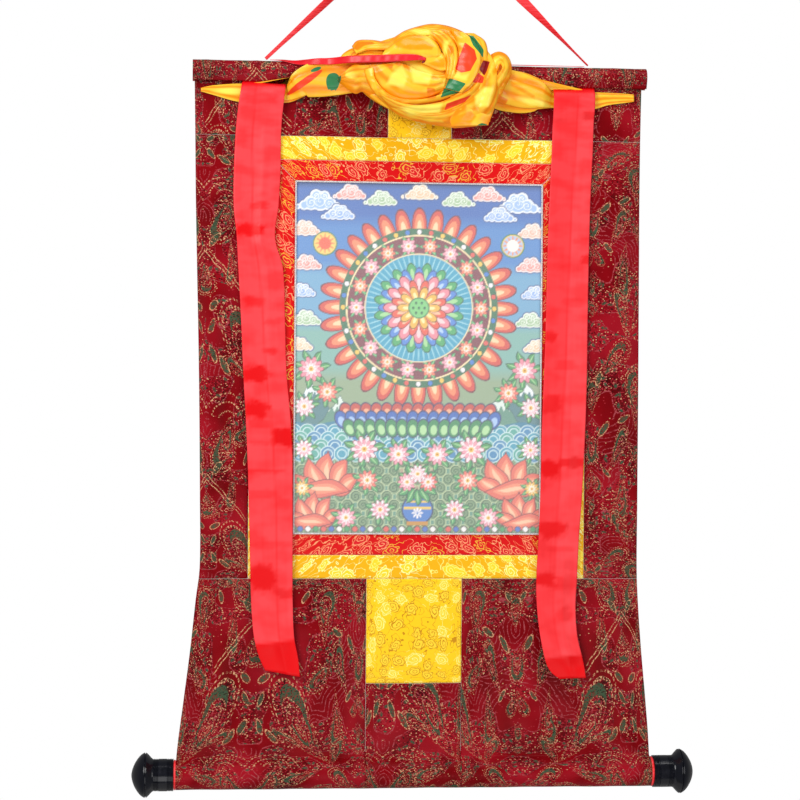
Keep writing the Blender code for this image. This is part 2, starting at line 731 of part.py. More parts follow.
make_ribbon("ribbon_left", RIBBON_LEFT_ROWS)
make_ribbon("ribbon_right", RIBBON_RIGHT_ROWS)
make_veil()
make_tie("veil_tie", VEIL_TIE_ROWS, 22)
make_tie("rod_ribbon", ROD_RIBBON_ROWS, 8)
curve_object("hang_cord", hanging_route(), "red_satin", False, CORD_THICK, CORD_HALF - CORD_THICK)
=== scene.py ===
import math
from functools import partial

import bmesh
import bpy
import numpy as np
from mathutils import Matrix, Vector, geometry, noise


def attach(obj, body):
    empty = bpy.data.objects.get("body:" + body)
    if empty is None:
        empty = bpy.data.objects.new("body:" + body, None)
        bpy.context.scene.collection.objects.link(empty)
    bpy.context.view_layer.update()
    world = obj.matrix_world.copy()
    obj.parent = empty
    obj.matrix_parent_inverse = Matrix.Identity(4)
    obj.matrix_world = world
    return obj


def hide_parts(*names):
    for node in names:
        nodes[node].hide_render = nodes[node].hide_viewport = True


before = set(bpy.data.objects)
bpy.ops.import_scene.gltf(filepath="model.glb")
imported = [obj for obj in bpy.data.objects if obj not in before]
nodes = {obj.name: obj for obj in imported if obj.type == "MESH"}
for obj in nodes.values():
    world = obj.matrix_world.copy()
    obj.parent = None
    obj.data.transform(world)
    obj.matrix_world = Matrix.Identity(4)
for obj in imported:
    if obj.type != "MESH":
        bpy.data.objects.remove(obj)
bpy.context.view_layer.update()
mm = 0.001

# The cloth's own sizes, as the frame was made: heights are counted from the nail
scroll = {
    "middle": -9 * mm,              # the cloth hangs a little left of the nail
    "headingTop": -193.5 * mm,
    "headingSeam": -219.5 * mm,
    "frameTop": -285 * mm,
    "frameBottom": -827 * mm,
    "tabBottom": -955.5 * mm,
    "hemStitch": -1045.5 * mm,
    "hemLow": -1085 * mm,
    "frameHalf": 207.5 * mm,
    "yellowBand": 29 * mm,
    "redBand": 26.5 * mm,
    "upperTab": (-39.5 * mm, 39 * mm),
    "lowerTab": (-62 * mm, 56 * mm),
    "cloth": 2.0 * mm,              # thickness of the cloth in the frame
    "gap": 0.3 * mm,
    "wrapGap": 0.4 * mm,
}
pictureInset = scroll["yellowBand"] + scroll["redBand"]


# small helpers

def between(low, high, share):
    return low + (high - low) * share


def ease(share):
    share = min(max(share, 0.0), 1.0)
    return share * share * (3 - 2 * share)


def bell(away):
    # 1 at its middle, soft on both sides
    return math.exp(-away * away)


def readTable(table, columns, at):
    # every column of a table at a value of its first column, along smooth curves
    first = [row[0] for row in table]
    rising = first[-1] > first[0]
    index = 0
    while index < len(first) - 2 and (at > first[index + 1]) == rising and at != first[index + 1]:
        index += 1
    start, end = table[index], table[index + 1]
    before, after = table[max(index - 1, 0)], table[min(index + 2, len(table) - 1)]
    span = end[0] - start[0]
    share = min(max((at - start[0]) / span, 0.0), 1.0)
    square, cube = share * share, share ** 3
    found = {}
    for place, title in enumerate(columns[1:], 1):
        slopeStart = (end[place] - before[place]) / (end[0] - before[0]) * span
        slopeEnd = (after[place] - start[place]) / (after[0] - start[0]) * span
        found[title] = ((2 * cube - 3 * square + 1) * start[place] + (cube - 2 * square + share) * slopeStart
                        + (3 * square - 2 * cube) * end[place] + (cube - square) * slopeEnd)
    return found


def linearColour(hexCode):
    # an sRGB hex colour as the linear values that a shader takes
    channels = [int(hexCode[i:i + 2], 16) / 255 for i in (1, 3, 5)]
    return tuple(c / 12.92 if c <= 0.04045 else ((c + 0.055) / 1.055) ** 2.4 for c in channels) + (1.0,)


def asColour(value):
    return linearColour(value) if isinstance(value, str) else value


def addNode(tree, kind, *values, output=0, **settings):
    # one node: its kind and operation, its first inputs in order, then settings; a name with a capital
    # is an input, and an input may be a value or another node's socket
    kind, _, operation = kind.partition(" ")
    node = tree.nodes.new("ShaderNode" + kind)
    if operation:
        node.operation = operation
    inputs = [(index, value) for index, value in enumerate(values) if value is not None]
    for name, value in settings.items():
        if name[0].isupper():
            inputs.append((name.replace("_", " "), value))
        else:
            setattr(node, name, value)
    for name, value in inputs:
        if isinstance(value, bpy.types.NodeSocket):
            tree.links.new(value, node.inputs[name])
        else:
            node.inputs[name].default_value = value
    return node.outputs if output is None else node.outputs[output]


def work(add, value, *steps):
    # a value worked on step by step; a step is an operation and its other inputs
    for operation, *others in steps:
        value = add("Math " + operation, value, *others)
    return value


# how the cloth hangs

sideColumns = ("z", "left", "right")
sideRows = (
    (-216, -276.6, 275.8), (-285, -275.3, 274.8), (-365, -274, 274.3), (-572, -268.7, 274.5),
    (-731, -266.3, 274.8), (-812, -266, 274.6), (-853, -270.6, 276.2), (-914, -276.9, 280.4),
    (-975, -284.4, 286), (-1044, -292.6, 291.6), (-1086, -293, 292.8),
)

# the long folds: middle, top, bottom, half width, height and how far the foot leans, mm
foldRows = (
    (-252, -300, -960, 17, 3.5, -10), (-236, -420, -860, 9, -1.8, 4), (246, -290, -700, 20, 3, 6),
    (262, -560, -940, 15, -2.2, -4), (0, -300, -830, 150, 2.2, 0), (-120, -225, -320, 34, 2, 8),
    (112, -225, -310, 28, -1.6, -6), (-226, -850, -1046, 26, 6, -26), (-178, -900, -1046, 17, -4, -22),
    (-128, -835, -1046, 30, 4.2, -14), (-84, -930, -1046, 16, -2.6, -5), (-20, -850, -1046, 34, 3, 4),
    (74, -840, -1046, 24, -2.4, 8), (128, -860, -1046, 26, 4.6, 16), (186, -905, -1046, 19, -4.6, 30),
    (236, -840, -1046, 24, 5.6, 30),
)

# soft creases that lie across the cloth: their middle, half length, half width, depth and slope
creaseRows = (
    (-238, -262, 34, 5, 0.7, 0.1), (-120, -246, 46, 6, -0.6, -0.06), (96, -252, 40, 5, 0.7, 0.08),
    (232, -260, 30, 6, -0.6, 0.05), (-240, -470, 24, 9, 0.6, 0.3), (-250, -640, 20, 8, -0.6, -0.25),
    (250, -420, 22, 9, 0.6, -0.2), (244, -760, 24, 10, -0.7, 0.25), (-180, -868, 60, 8, 0.9, 0.12),
    (-110, -905, 42, 7, -0.9, -0.16), (-210, -985, 40, 9, 0.9, 0.22), (116, -872, 48, 7, 0.8, -0.1),
    (206, -930, 46, 8, -0.9, 0.2), (150, -1000, 44, 8, 0.8, 0.12), (10, -1002, 50, 7, -0.9, -0.05),
    (30, -1030, 46, 5, 0.8, 0.03), (-70, -1024, 38, 6, 0.8, -0.08), (-150, -1020, 34, 5, -0.8, 0.1),
    (238, -1018, 30, 6, 0.8, 0.14),
)


def sideOf(title, z):
    z = max(min(z / mm, sideRows[0][0]), sideRows[-1][0])
    return readTable(sideRows, sideColumns, z)[title] * mm


def leftSide(z):
    return sideOf("left", z)


def rightSide(z):
    return sideOf("right", z)


def drape(x, z):
    # the hanging cloth's middle layer: its long folds and the soft creases across it
    x, z = x / mm, z / mm
    out = 0.0
    for middle, top, bottom, half, height, lean in foldRows:
        share = (top - z) / (top - bottom)
        if 0.0 < share < 1.0:
            strength = ease(share / 0.35) * ease((1 - share) / 0.18)
            out += height * strength * bell((x - middle - lean * share) / half)
    for middle, high, long, wide, depth, slope in creaseRows:
        along = (x - middle) / long
        across = (z - high - slope * (x - middle)) / wide
        if abs(along) < 2.2 and abs(across) < 2.5:
            out += depth * math.exp(-along * along - across * across)
    return -out * mm


def inScene(name, data):
    made = bpy.data.objects.new(name, data)
    bpy.context.scene.collection.objects.link(made)
    return made


def meshOf(name, shape):
    # the mesh of a finished bmesh
    mesh = bpy.data.meshes.new(name)
    shape.to_mesh(mesh)
    shape.free()
    return mesh


def toObject(name, mesh, finish, *replaced):
    # a finished piece: it stands in the place of its frame nodes and rides on the one body
    mesh.shade_smooth()
    mesh.materials.append(finish["material"])
    piece = inScene(name, mesh)
    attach(piece, "root")
    if replaced:
        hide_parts(*replaced)
    return piece


def newCurve(name, depth, resolution, **settings):
    # a curve with a round section; settings are its other properties
    data = bpy.data.curves.new(name, "CURVE")
    data.dimensions, data.bevel_depth, data.bevel_resolution = "3D", depth, resolution
    for title, value in settings.items():
        setattr(data, title, value)
    return data


def addLine(data, rows):
    # a line through rows of place, radius and twist in degrees
    line = data.splines.new("POLY")
    line.points.add(len(rows) - 1)
    for point, (spot, radius, twist) in zip(line.points, rows):
        point.co, point.radius, point.tilt = (*spot, 1.0), radius, math.radians(twist)
    return line


def onCloth(x, y, z):
    # x counts from the middle of the cloth, which hangs beside the nail's line
    return Vector((x + scroll["middle"], y, z))


def layCloth(name, finish, place, across, down, thickness, uvSize, uvStart=(0, 0)):
    # a fine grid laid by place(share across, share down); its UV map is the flat cloth in metres
    grid = bmesh.new()
    bmesh.ops.create_grid(grid, x_segments=across, y_segments=down, size=0.5)
    flat = grid.loops.layers.uv.new("cloth")
    for face in grid.faces:
        for corner in face.loops:
            share = corner.vert.co
            corner[flat].uv = (uvStart[0] + (share.x + 0.5) * uvSize[0],
                               uvStart[1] + (share.y + 0.5) * uvSize[1])
    for vert in grid.verts:
        vert.co = place(vert.co.x + 0.5, 0.5 - vert.co.y)
    piece = toObject(name, meshOf(name, grid), finish, name)
    solid = piece.modifiers.new("cloth thickness", "SOLIDIFY")
    solid.thickness = thickness
    solid.offset = 0.0
    return piece


# camera and light

cameraView = {
    "distance": 2.6,
    "yaw": 5.1,                     # degrees, the camera stands to the left
    "roll": 0.43,
    "mmPerPixel": 1.23,
    "nailPixel": (429, -93),        # where the nail would be in the photograph's frame
    "imageMiddle": 400,
    "sensor": 36.0,
}


def makeCamera():
    yaw, roll = math.radians(cameraView["yaw"]), math.radians(cameraView["roll"])
    ahead = Vector((math.sin(yaw), math.cos(yaw), 0))
    level = ahead.cross(Vector((0, 0, 1)))
    right = math.cos(roll) * level + math.sin(roll) * Vector((0, 0, 1))
    up = -math.sin(roll) * level + math.cos(roll) * Vector((0, 0, 1))
    focal = cameraView["distance"] / (cameraView["mmPerPixel"] * mm)
    toNail = (ahead * focal + right * (cameraView["nailPixel"][0] - cameraView["imageMiddle"])
              + up * (cameraView["imageMiddle"] - cameraView["nailPixel"][1]))
    toNail *= cameraView["distance"] * math.cos(yaw) / toNail.y
    spot = -toNail
    camera = inScene("camera", bpy.data.cameras.new("camera"))
    camera.data.sensor_width = cameraView["sensor"]
    camera.data.lens = focal * cameraView["sensor"] / (2 * cameraView["imageMiddle"])
    camera.data.clip_start, camera.data.clip_end = 0.05, 30
    turn = Matrix((right, up, -ahead)).transposed()
    camera.matrix_world = Matrix.Translation(spot) @ turn.to_4x4()
    bpy.context.scene.camera = camera


lamps = {
    # place, size and power of each soft box
    "key": ((-1.5, -1.9, 0.4), 1.2, 44),
    "fill": ((1.8, -2, -0.6), 1.4, 17),
    "low": ((-0.2, -2, -1.7), 1.3, 13),
    "top": ((0.3, -0.8, 1.1), 0.9, 12),
}


def makeLight():
    target = Vector((0, 0, -0.6))
    for name, (spot, size, power) in lamps.items():
        lamp = bpy.data.lights.new(name, "AREA")
        lamp.size, lamp.energy = size, power
        box = inScene(name, lamp)
        box.matrix_world = (Matrix.Translation(spot)
                            @ (target - Vector(spot)).to_track_quat("-Z", "Y").to_matrix().to_4x4())
    world = bpy.data.worlds.new("studio")
    world.use_nodes = True
    world.node_tree.nodes.clear()
    add = partial(addNode, world.node_tree)
    # the room is pure white to the eye, as in the photograph, and gives a softer light
    seen = add("LightPath", output="Is Camera Ray")
    glow = add("MapRange", Value=seen, To_Min=0.24, To_Max=1.0)
    light = add("Background", Color=(1, 1, 1, 1), Strength=glow)
    add("OutputWorld", Surface=light, output=None)
    bpy.context.scene.world = world
    bpy.context.scene.view_settings.view_transform = "Standard"


studio = {"floorDown": 2.0, "floorWide": 1.6}      # metres below the nail and across


def makeFloor():
    # a plain pale floor under the hanging scroll
    ground = bmesh.new()
    bmesh.ops.create_grid(ground, x_segments=1, y_segments=1, size=studio["floorWide"] / 2)
    bmesh.ops.translate(ground, verts=ground.verts, vec=(0, 0, -studio["floorDown"]))
    mesh = meshOf("floor", ground)
    floor = inScene("floor", mesh)
    finish, add, shader = startFinish("paleStudioFloor", None)
    feed(shader, Base_Color=layColours(add, "#E2E0DC", (add("TexNoise", Scale=3.0, Detail=3.0), "#F0EFEC")))
    mesh.materials.append(finish["material"])


# materials

def startFinish(name, slot, **values):
    # a new material with its principled shader; colours are hex codes
    made = bpy.data.materials.new(name)
    made.use_nodes = True
    shader = made.node_tree.nodes["Principled BSDF"]
    for socket, value in values.items():
        shader.inputs[socket.replace("_", " ")].default_value = asColour(value)
    return {"material": made, "slot": slot}, partial(addNode, made.node_tree), shader


def feed(shader, **sockets):
    # sockets that drive the shader's inputs
    for name, socket in sockets.items():
        shader.id_data.links.new(socket, shader.inputs[name.replace("_", " ")])


def flatPlace(add, unit):
    # the flat cloth's own coordinates, in units of so many millimetres
    return add("VectorMath SCALE", add("UVMap", uv_map="cloth"), Scale=1 / (unit * mm))


def weaveBump(add, shader, place, threadMm, depthMm, strength):
    # warp and weft as two sets of ribs; real threads are near 0.3 mm, drawn coarser so that they show
    ribs = [add("TexWave", Vector=place, Scale=2 * math.pi / (20 * threadMm), Distortion=0.6, Detail=1.0,
                Detail_Scale=2.0, output="Fac", bands_direction=direction) for direction in ("X", "Y")]
    woven = add("Math MULTIPLY", *ribs)
    feed(shader, Normal=add("Bump", Height=woven, Strength=strength, Distance=depthMm * mm))


def layColours(add, ground, *layers):
    # colours laid over the ground one after the other, each where its mask is 1
    colour = asColour(ground)
    for mask, value in layers:
        colour = add("Mix", mask, *[None] * 5, colour, asColour(value), output=2, data_type="RGBA")
    return colour


paisley = {
    # levels between which a gold line lies
    "goldLines": ((0.10, 0.16), (0.27, 0.30), (0.49, 0.53), (0.63, 0.66), (0.94, 1.0), (1.08, 1.12)),
    "dots": 42,                     # stitches of a gold line round the shape
    "crescents": ((0.67, 0.3), (0.31, -0.18)),     # green: level of the inner edge and how thick
}


def eitherOf(add, found, new):
    # two masks joined; the first one has nothing to be joined to
    return new if found is None else add("Math MAXIMUM", found, new)


def paisleyGroup():
    # a bent drop: its level is 0 in the middle and 1 on the outline, its tip points up
    group = bpy.data.node_groups.new("paisley", "ShaderNodeTree")
    group.interface.new_socket("Place", in_out="INPUT", socket_type="NodeSocketVector")
    for title in ("Green", "Gold", "Body"):
        group.interface.new_socket(title, in_out="OUTPUT", socket_type="NodeSocketFloat")
    inlet = group.nodes.new("NodeGroupInput")
    outlet = group.nodes.new("NodeGroupOutput")
    add = partial(addNode, group)
    parts = add("SeparateXYZ", inlet.outputs["Place"], output=None)
    rise = add("Math MULTIPLY_ADD", parts["Y"], 0.5, 0.5)
    bend = work(add, rise, ("MULTIPLY", rise), ("MULTIPLY_ADD", -0.85, 0.3))
    wide = work(add, rise, ("MULTIPLY_ADD", -0.85, 1.05), ("MAXIMUM", 0.14))
    across = work(add, parts["X"], ("ADD", bend), ("DIVIDE", wide))
    level = add("VectorMath LENGTH", add("CombineXYZ", X=across, Y=parts["Y"]), output="Value")
    angle = work(add, parts["Y"], ("ARCTAN2", across), ("ADD", 0.8))
    facing = add("Math COSINE", angle)
    dots = work(add, angle, ("MULTIPLY", paisley["dots"]), ("SINE",), ("GREATER_THAN", -0.1))
    gold, green = None, None
    for low, high in paisley["goldLines"]:
        gold = eitherOf(add, gold, add("Math COMPARE", level, (low + high) / 2, (high - low) / 2))
    for start, thick in paisley["crescents"]:
        inside = work(add, facing, ("MULTIPLY_ADD", thick, start - 0.02), ("GREATER_THAN", level))
        green = eitherOf(add, green, work(add, level, ("GREATER_THAN", start), ("MULTIPLY", inside)))
    masks = {"Green": green, "Gold": add("Math MULTIPLY", gold, dots),
             "Body": add("Math LESS_THAN", level, 1.0)}
    for title, socket in masks.items():
        group.links.new(socket, outlet.inputs[title])
    return group


brocade = {
    "halfRepeat": 123, "height": 232,      # mm, the pattern is mirrored left and right
    # dark is the ground's painted shade, lit its painted light and sheen its painted sheen patches; plain is
    # the clear satin's own colour
    "dark": "#460004", "lit": "#860210", "plain": "#840006", "paintedSheen": "#A01222",
    "green": "#36523C", "greenDark": "#220C0A", "gold": "#CC9C74", "fleck": "#A02830", "paleFleck": "#CC9A74",
    "arc": "#A0444A",
    "fieldNoise": 0.0115, "fieldCount": 5.0,   # closed fields follow one another across the noise's range
    "fieldShare": 0.58,             # how much of the way to the next field is covered
    "sprigMm": 8.5,                 # a small leaf in every cell of the fields
    "arcMm": 62, "arcStep": 4.6,    # how far apart the middles of the arcs are, and the arcs themselves
    "chevron": (169, 1.09, 74),            # its point's height, its slope and where it starts, mm
    "fan": (100, -2, 0), "fanStep": 4.2,   # middle of the dotted arcs and half the step between them
    "fleckMm": (1.25, 0.85),               # one woven fleck, drawn as coarse as it can be seen
    "dense": 0.76, "sparse": 0.985,         # how rare flecks are inside the motifs and between them
}

# the motifs of one repeat: middle, half width, half height and turn, mm and degrees
motifRows = (
    (72, 58, 22, 56, 162), (83, 45, 7, 21, 130), (33, 66, 10, 29, 8), (33, 22, 9, 26, 204), (0, 53, 6, 11, 0),
    (5, 83, 7, 11, 40), (0, 25, 7, 9, 180), (0, 120, 14, 17, 0), (28, 117, 9, 24, 172), (52, 112, 11, 18, 60),
    (50, 172, 17, 29, 200), (100, 206, 17, 30, 30), (123, 140, 12, 19, 0), (22, 208, 12, 24, 150),
    (0, 168, 9, 20, 180),
    (72, 216, 10, 20, 75), (94, 152, 8, 22, 10),
)
# small leaves beside them: middle, half width, half length and turn
leafRows = (
    (115, 89, 2.2, 6, 25), (114, 61, 2.4, 7, -20), (101, 50, 2.6, 8, -35), (113, 109, 2.8, 5, 50),
    (17, 92, 2, 5, 30),
    (14, 140, 2.4, 7, -30), (110, 178, 2.6, 7, 40), (34, 150, 2.4, 6, -60), (74, 190, 2.6, 7, 20),
    (9, 190, 2.2, 6, -20),
)


def motifPlace(add, cell, x, z, halfWide, halfTall, turn):
    # a motif's own coordinates, from its middle, half size and turn in the repeat
    return add("Mapping", cell, (x, z, 0), (0, 0, math.radians(turn)), (halfWide, halfTall, 1),
               vector_type="TEXTURE")


def strayed(add, place, scale, detail, reach):
    # coordinates that stray a little, so that no line looks ruled
    stray = add("TexNoise", Vector=place, Scale=scale, Detail=detail, output="Color")
    stray = add("VectorMath SCALE", add("VectorMath SUBTRACT", stray, (0.5, 0.5, 0.5)), Scale=reach)
    return stray, add("VectorMath ADD", place, stray)


def turnedCells(add, place, stretch, **settings):
    # coordinates from the middle of each cell, turned at random, and the cell's own random numbers
    cell = add("TexVoronoi", Vector=place, Scale=1.0, output=None, voronoi_dimensions="2D", **settings)
    chance = add("SeparateColor", cell["Color"], output=None)
    local = add("VectorMath SUBTRACT", place, cell["Position"])
    turn = add("Math MULTIPLY", chance["Red"], 2 * math.pi)
    local = add("VectorRotate", Vector=local, Angle=turn, rotation_type="Z_AXIS")
    return add("VectorMath MULTIPLY", local, (1.0, stretch, 1.0)), chance


def maroonBrocade():
    # silk satin brocade, jacquard woven: a soft painted sheen, painted light and painted shade on the plain
    # parts, dull green and gold wefts
    finish, add, shader = startFinish("maroonSatinBrocade", "maroon_brocade", Roughness=0.42,
                                      Specular_IOR_Level=0.06)
    place = flatPlace(add, 1)
    stray, loose = strayed(add, place, 0.045, 2.0, 7.0)
    parts = add("SeparateXYZ", loose, output=None)
    across = add("Math PINGPONG", parts["X"], brocade["halfRepeat"])
    up = add("Math WRAP", parts["Y"], brocade["height"], 0.0)
    cell = add("CombineXYZ", X=across, Y=up)
    group = paisleyGroup()
    masks = dict.fromkeys(("Green", "Gold", "Body"))
    for row in motifRows:
        shape = add("Group", node_tree=group, Place=motifPlace(add, cell, *row), output=None)
        for title, found in masks.items():
            masks[title] = eitherOf(add, found, shape[title])
    # a steep double line that meets its mirror image in a point, and dotted arcs like a fan
    peak, slope, first = brocade["chevron"]
    rise = add("Math MULTIPLY_ADD", across, -slope, slope * brocade["halfRepeat"] - peak)
    double = work(add, up, ("ADD", rise), ("ABSOLUTE",), ("COMPARE", 2.9, 0.8))
    spot = add("VectorMath SUBTRACT", cell, brocade["fan"])
    spotParts = add("SeparateXYZ", spot, output=None)
    radius = add("VectorMath LENGTH", spot, output="Value")
    near = add("Math LESS_THAN", radius, brocade["fanStep"] * 6.5)
    dots = work(add, spotParts["Y"], ("ARCTAN2", spotParts["X"]), ("MULTIPLY", 30.0), ("SINE",),
                ("GREATER_THAN", -0.2))
    ring = work(add, radius, ("PINGPONG", brocade["fanStep"]), ("LESS_THAN", 0.8), ("MULTIPLY", near),
                ("MULTIPLY", dots))
    lines = work(add, across, ("GREATER_THAN", first), ("MULTIPLY", double), ("MAXIMUM", ring))
    # small leaves with a light edge
    leaf, leafEdge = None, None
    for row in leafRows:
        size = add("VectorMath LENGTH", motifPlace(add, cell, *row), output="Value")
        leaf = eitherOf(add, leaf, add("Math LESS_THAN", size, 1.0))
        leafEdge = eitherOf(add, leafEdge, add("Math COMPARE", size, 1.22, 0.14))
    # closed fields with a thin double edge: they follow the level lines of a soft noise, mirrored both ways
    mirrored = add("CombineXYZ", X=across, Y=add("Math PINGPONG", parts["Y"], brocade["height"]))
    soft = add("TexNoise", Vector=mirrored, Scale=brocade["fieldNoise"], Detail=1.0, output=None)
    level = work(add, soft["Fac"], ("MULTIPLY", brocade["fieldCount"]), ("FRACT",))
    field = add("Math LESS_THAN", level, brocade["fieldShare"])
    fieldEdge = work(add, level, ("COMPARE", 0.03, 0.010),
                     ("MAXIMUM", add("Math COMPARE", level, 0.60, 0.012)))
    # thin arcs side by side on the clear satin
    curved = add("VectorMath ADD", mirrored, add("VectorMath SCALE", stray, Scale=1.6))
    away = add("TexVoronoi", Vector=curved, Scale=1 / brocade["arcMm"], voronoi_dimensions="2D")
    free = add("SeparateColor", soft["Color"], output="Blue")
    free = work(add, free, ("GREATER_THAN", 0.49), ("GREATER_THAN", field))
    arc = work(add, away, ("MULTIPLY", brocade["arcMm"] / brocade["arcStep"]), ("FRACT",),
               ("COMPARE", 0.5, 0.11),
               ("MULTIPLY", free), ("MAXIMUM", fieldEdge))
    # fine flecks of weft: one cell is one float of the thread, thick inside the motifs
    steps = add("VectorMath FLOOR", add("VectorMath DIVIDE", place, (*brocade["fleckMm"], 1.0)))
    random = add("TexWhiteNoise", Vector=steps, output=None, noise_dimensions="2D")
    fleck = random["Value"]
    busy = work(add, field, ("MULTIPLY", 0.8), ("MAXIMUM", masks["Body"]))
    rarity = add("MapRange", busy, 0.0, 1.0, brocade["sparse"], brocade["dense"])
    flecks = add("Math GREATER_THAN", fleck, rarity)
    pale = add("Math GREATER_THAN", add("SeparateColor", random["Color"], output="Green"), 0.76)
    fleckColour = layColours(add, brocade["fleck"], (pale, brocade["paleFleck"]))
    shadow = work(add, fleck, ("LESS_THAN", 0.13), ("MULTIPLY", busy))
    # a small leaf or bud in every cell of a field
    local, chance = turnedCells(add, add("VectorMath SCALE", loose, Scale=1 / brocade["sprigMm"]), 1.9)
    size = add("VectorMath LENGTH", local, output="Value")
    chosen = work(add, chance["Green"], ("GREATER_THAN", 0.42), ("MULTIPLY", field))
    bud = work(add, size, ("LESS_THAN", 0.30), ("MULTIPLY", chosen))
    rim = work(add, size, ("COMPARE", 0.40, 0.05), ("MULTIPLY", chosen))
    # painted light and shade of the satin ground: stretched lit and dark patches, and soft patches of painted
    # sheen
    shade = add("TexNoise", Vector=add("Mapping", place, Scale=(1.0, 0.5, 1.0)), Scale=0.03, Detail=2.0)
    glow = add("TexNoise", Vector=place, Scale=0.014, Detail=2.0)
    ground = layColours(add, brocade["dark"], (add("MapRange", shade, 0.32, 0.66), brocade["lit"]),
                        (add("MapRange", busy, 0.0, 1.0, 0.45, 0.0), brocade["plain"]),
                        (add("MapRange", glow, 0.46, 0.66, 0.0, 0.75), brocade["paintedSheen"]))
    # the pattern's wefts float in short stitches, so no line is solid
    hatch = add("MapRange", fleck, 0.2, 0.5, 0.25, 0.95)
    goldHatch = add("MapRange", fleck, 0.35, 0.6, 0.1, 1.0)
    green = work(add, masks["Green"], ("MAXIMUM", leaf), ("MAXIMUM", bud), ("MULTIPLY", hatch))
    gold = work(add, leafEdge, ("MAXIMUM", masks["Gold"]), ("MAXIMUM", lines), ("MULTIPLY", goldHatch))
    arc, rim = (add("Math MULTIPLY", mask, goldHatch) for mask in (arc, rim))
    colour = layColours(add, ground, (shadow, brocade["greenDark"]), (flecks, fleckColour),
                        (arc, brocade["arc"]),
                        (rim, brocade["arc"]), (green, brocade["green"]), (gold, brocade["gold"]))
    raised = work(add, green, ("MAXIMUM", gold), ("MAXIMUM", flecks))
    feed(shader, Base_Color=colour, Roughness=add("MapRange", raised, 0.0, 1.0, 0.38, 0.62))
    weaveBump(add, shader, place, 1.3, 0.10, 0.3)
    return finish


def cloudBrocade(name, slot, colours, cell, fillAmount, lineWide, **values):
    # jacquard satin with cloud scrolls: lobed clouds with a spiral in them, and thin tendrils between
    finish, add, shader = startFinish(name, slot, **values)
    place = flatPlace(add, 1)
    loose = strayed(add, place, 0.12, 1.0, cell * 0.35)[1]
    local, chance = turnedCells(add, add("VectorMath SCALE", loose, Scale=1 / cell), 1.3, Randomness=0.75)
    parts = add("SeparateXYZ", local, output=None)
    away = add("VectorMath LENGTH", local, output="Value")
    angle = add("Math ARCTAN2", parts["Y"], parts["X"])
    size = add("MapRange", chance["Green"], 0.0, 1.0, 0.24, 0.38)
    rim = work(add, angle, ("MULTIPLY", 3.0), ("SINE",), ("ABSOLUTE",), ("MULTIPLY_ADD", 0.13, size),
               ("SUBTRACT", away))
    inside = add("Math GREATER_THAN", rim, 0.0)
    outline = add("Math COMPARE", rim, 0.0, lineWide / cell)
    turns = add("Math MULTIPLY", angle, 1 / (2 * math.pi))
    spiral = work(add, away, ("MULTIPLY_ADD", 5.5, turns), ("FRACT",), ("COMPARE", 0.5, 0.13),
                  ("MULTIPLY", inside))
    # tendrils follow the level lines of a soft noise
    soft = add("TexNoise", Vector=loose, Scale=1.5 / cell, Detail=1.0)
    free = add("Math SUBTRACT", 1.0, inside)
    tendril = work(add, soft, ("MULTIPLY", 5.0), ("FRACT",), ("COMPARE", 0.5, 0.045), ("MULTIPLY", free))
    lines = work(add, outline, ("MAXIMUM", spiral), ("MAXIMUM", tendril))
    special = add("Math GREATER_THAN", chance["Blue"], 0.68)
    lineColour = layColours(add, colours["line"], (special, colours["other"]))
    fill = add("Math MULTIPLY", inside, fillAmount)
    feed(shader, Base_Color=layColours(add, colours["ground"], (fill, colours["fill"]), (lines, lineColour)))
    weaveBump(add, shader, place, 1.1, 0.10, 0.3)
    return finish


def satin(name, slot, lit, deep, printsAndPaintedLight=(), onObject=False, litBy=None, patchy=0.0, **values):
    # woven polyester satin: smooth and glossy; lit is its painted light and deep its painted shade, and the
    # painted lights run across the threads
    finish, add, shader = startFinish(name, slot, **values)
    if onObject:
        place = add("VectorMath SCALE", add("TexCoord", output="Object"), Scale=1 / mm)
    else:
        place = flatPlace(add, 1)
    # painted light: long streaks and soft patches lay the lit colour over the deep, painted shade
    paintedStreak, soft = (add("TexNoise", Vector=add("Mapping", place, Scale=scale), Scale=1.0, Detail=2.0)
                    for scale in ((0.16, 0.012, 1.0), (0.02, 0.042, 1.0)))
    share = add("MapRange", add("Math MULTIPLY_ADD", paintedStreak, 0.18, soft), 0.46, 0.68)
    if litBy:
        # the piece says itself where its satin lies in painted light; the rest stays in painted shade
        level = add("Attribute", output="Fac", attribute_name=litBy)
        share = add("Math MULTIPLY", add("MapRange", share, 0.0, 1.0, patchy, 1.0), level)
    layers = [(share, lit)]
    for attribute, (patchColour, softness) in printsAndPaintedLight:
        # a printed patch, or a patch of painted highlight or painted shade: the attribute is above 0 inside
        # it, and its edge is a little uneven
        inside = add("Attribute", output="Fac", attribute_name=attribute)
        inside = add("Math ADD", inside, add("Math MULTIPLY_ADD", soft, 0.25, -0.12))
        layers.append((add("MapRange", inside, 0.0, softness), patchColour))
    feed(shader, Base_Color=layColours(add, deep, *layers))
    weaveBump(add, shader, place, 0.9, 0.03, 0.12)
    return finish


def blackLacquer():
    # turned wood under thick gloss lacquer: blue-black with sharp lights and faint turning rings
    finish, add, shader = startFinish("blackGlossLacquer", "black_lacquer", Base_Color="#06070E",
                                      Roughness=0.2,
                                      Coat_Weight=0.15, Coat_Roughness=0.08, Specular_IOR_Level=0.3)
    place = add("TexCoord", output="Object")
    rings = add("TexWave", Vector=place, Scale=2 * math.pi / (20 * 1.1 * mm), Distortion=0.4, output="Fac",
                bands_direction="X")
    dull = add("TexNoise", Vector=place, Scale=160.0, Detail=3.0)
    feed(shader, Base_Color=layColours(add, "#040509", (dull, "#0B0D1A")),
         Roughness=add("MapRange", dull, 0.35, 0.7, 0.12, 0.26),
         Normal=add("Bump", Height=rings, Strength=0.10, Distance=0.1 * mm))
    return finish


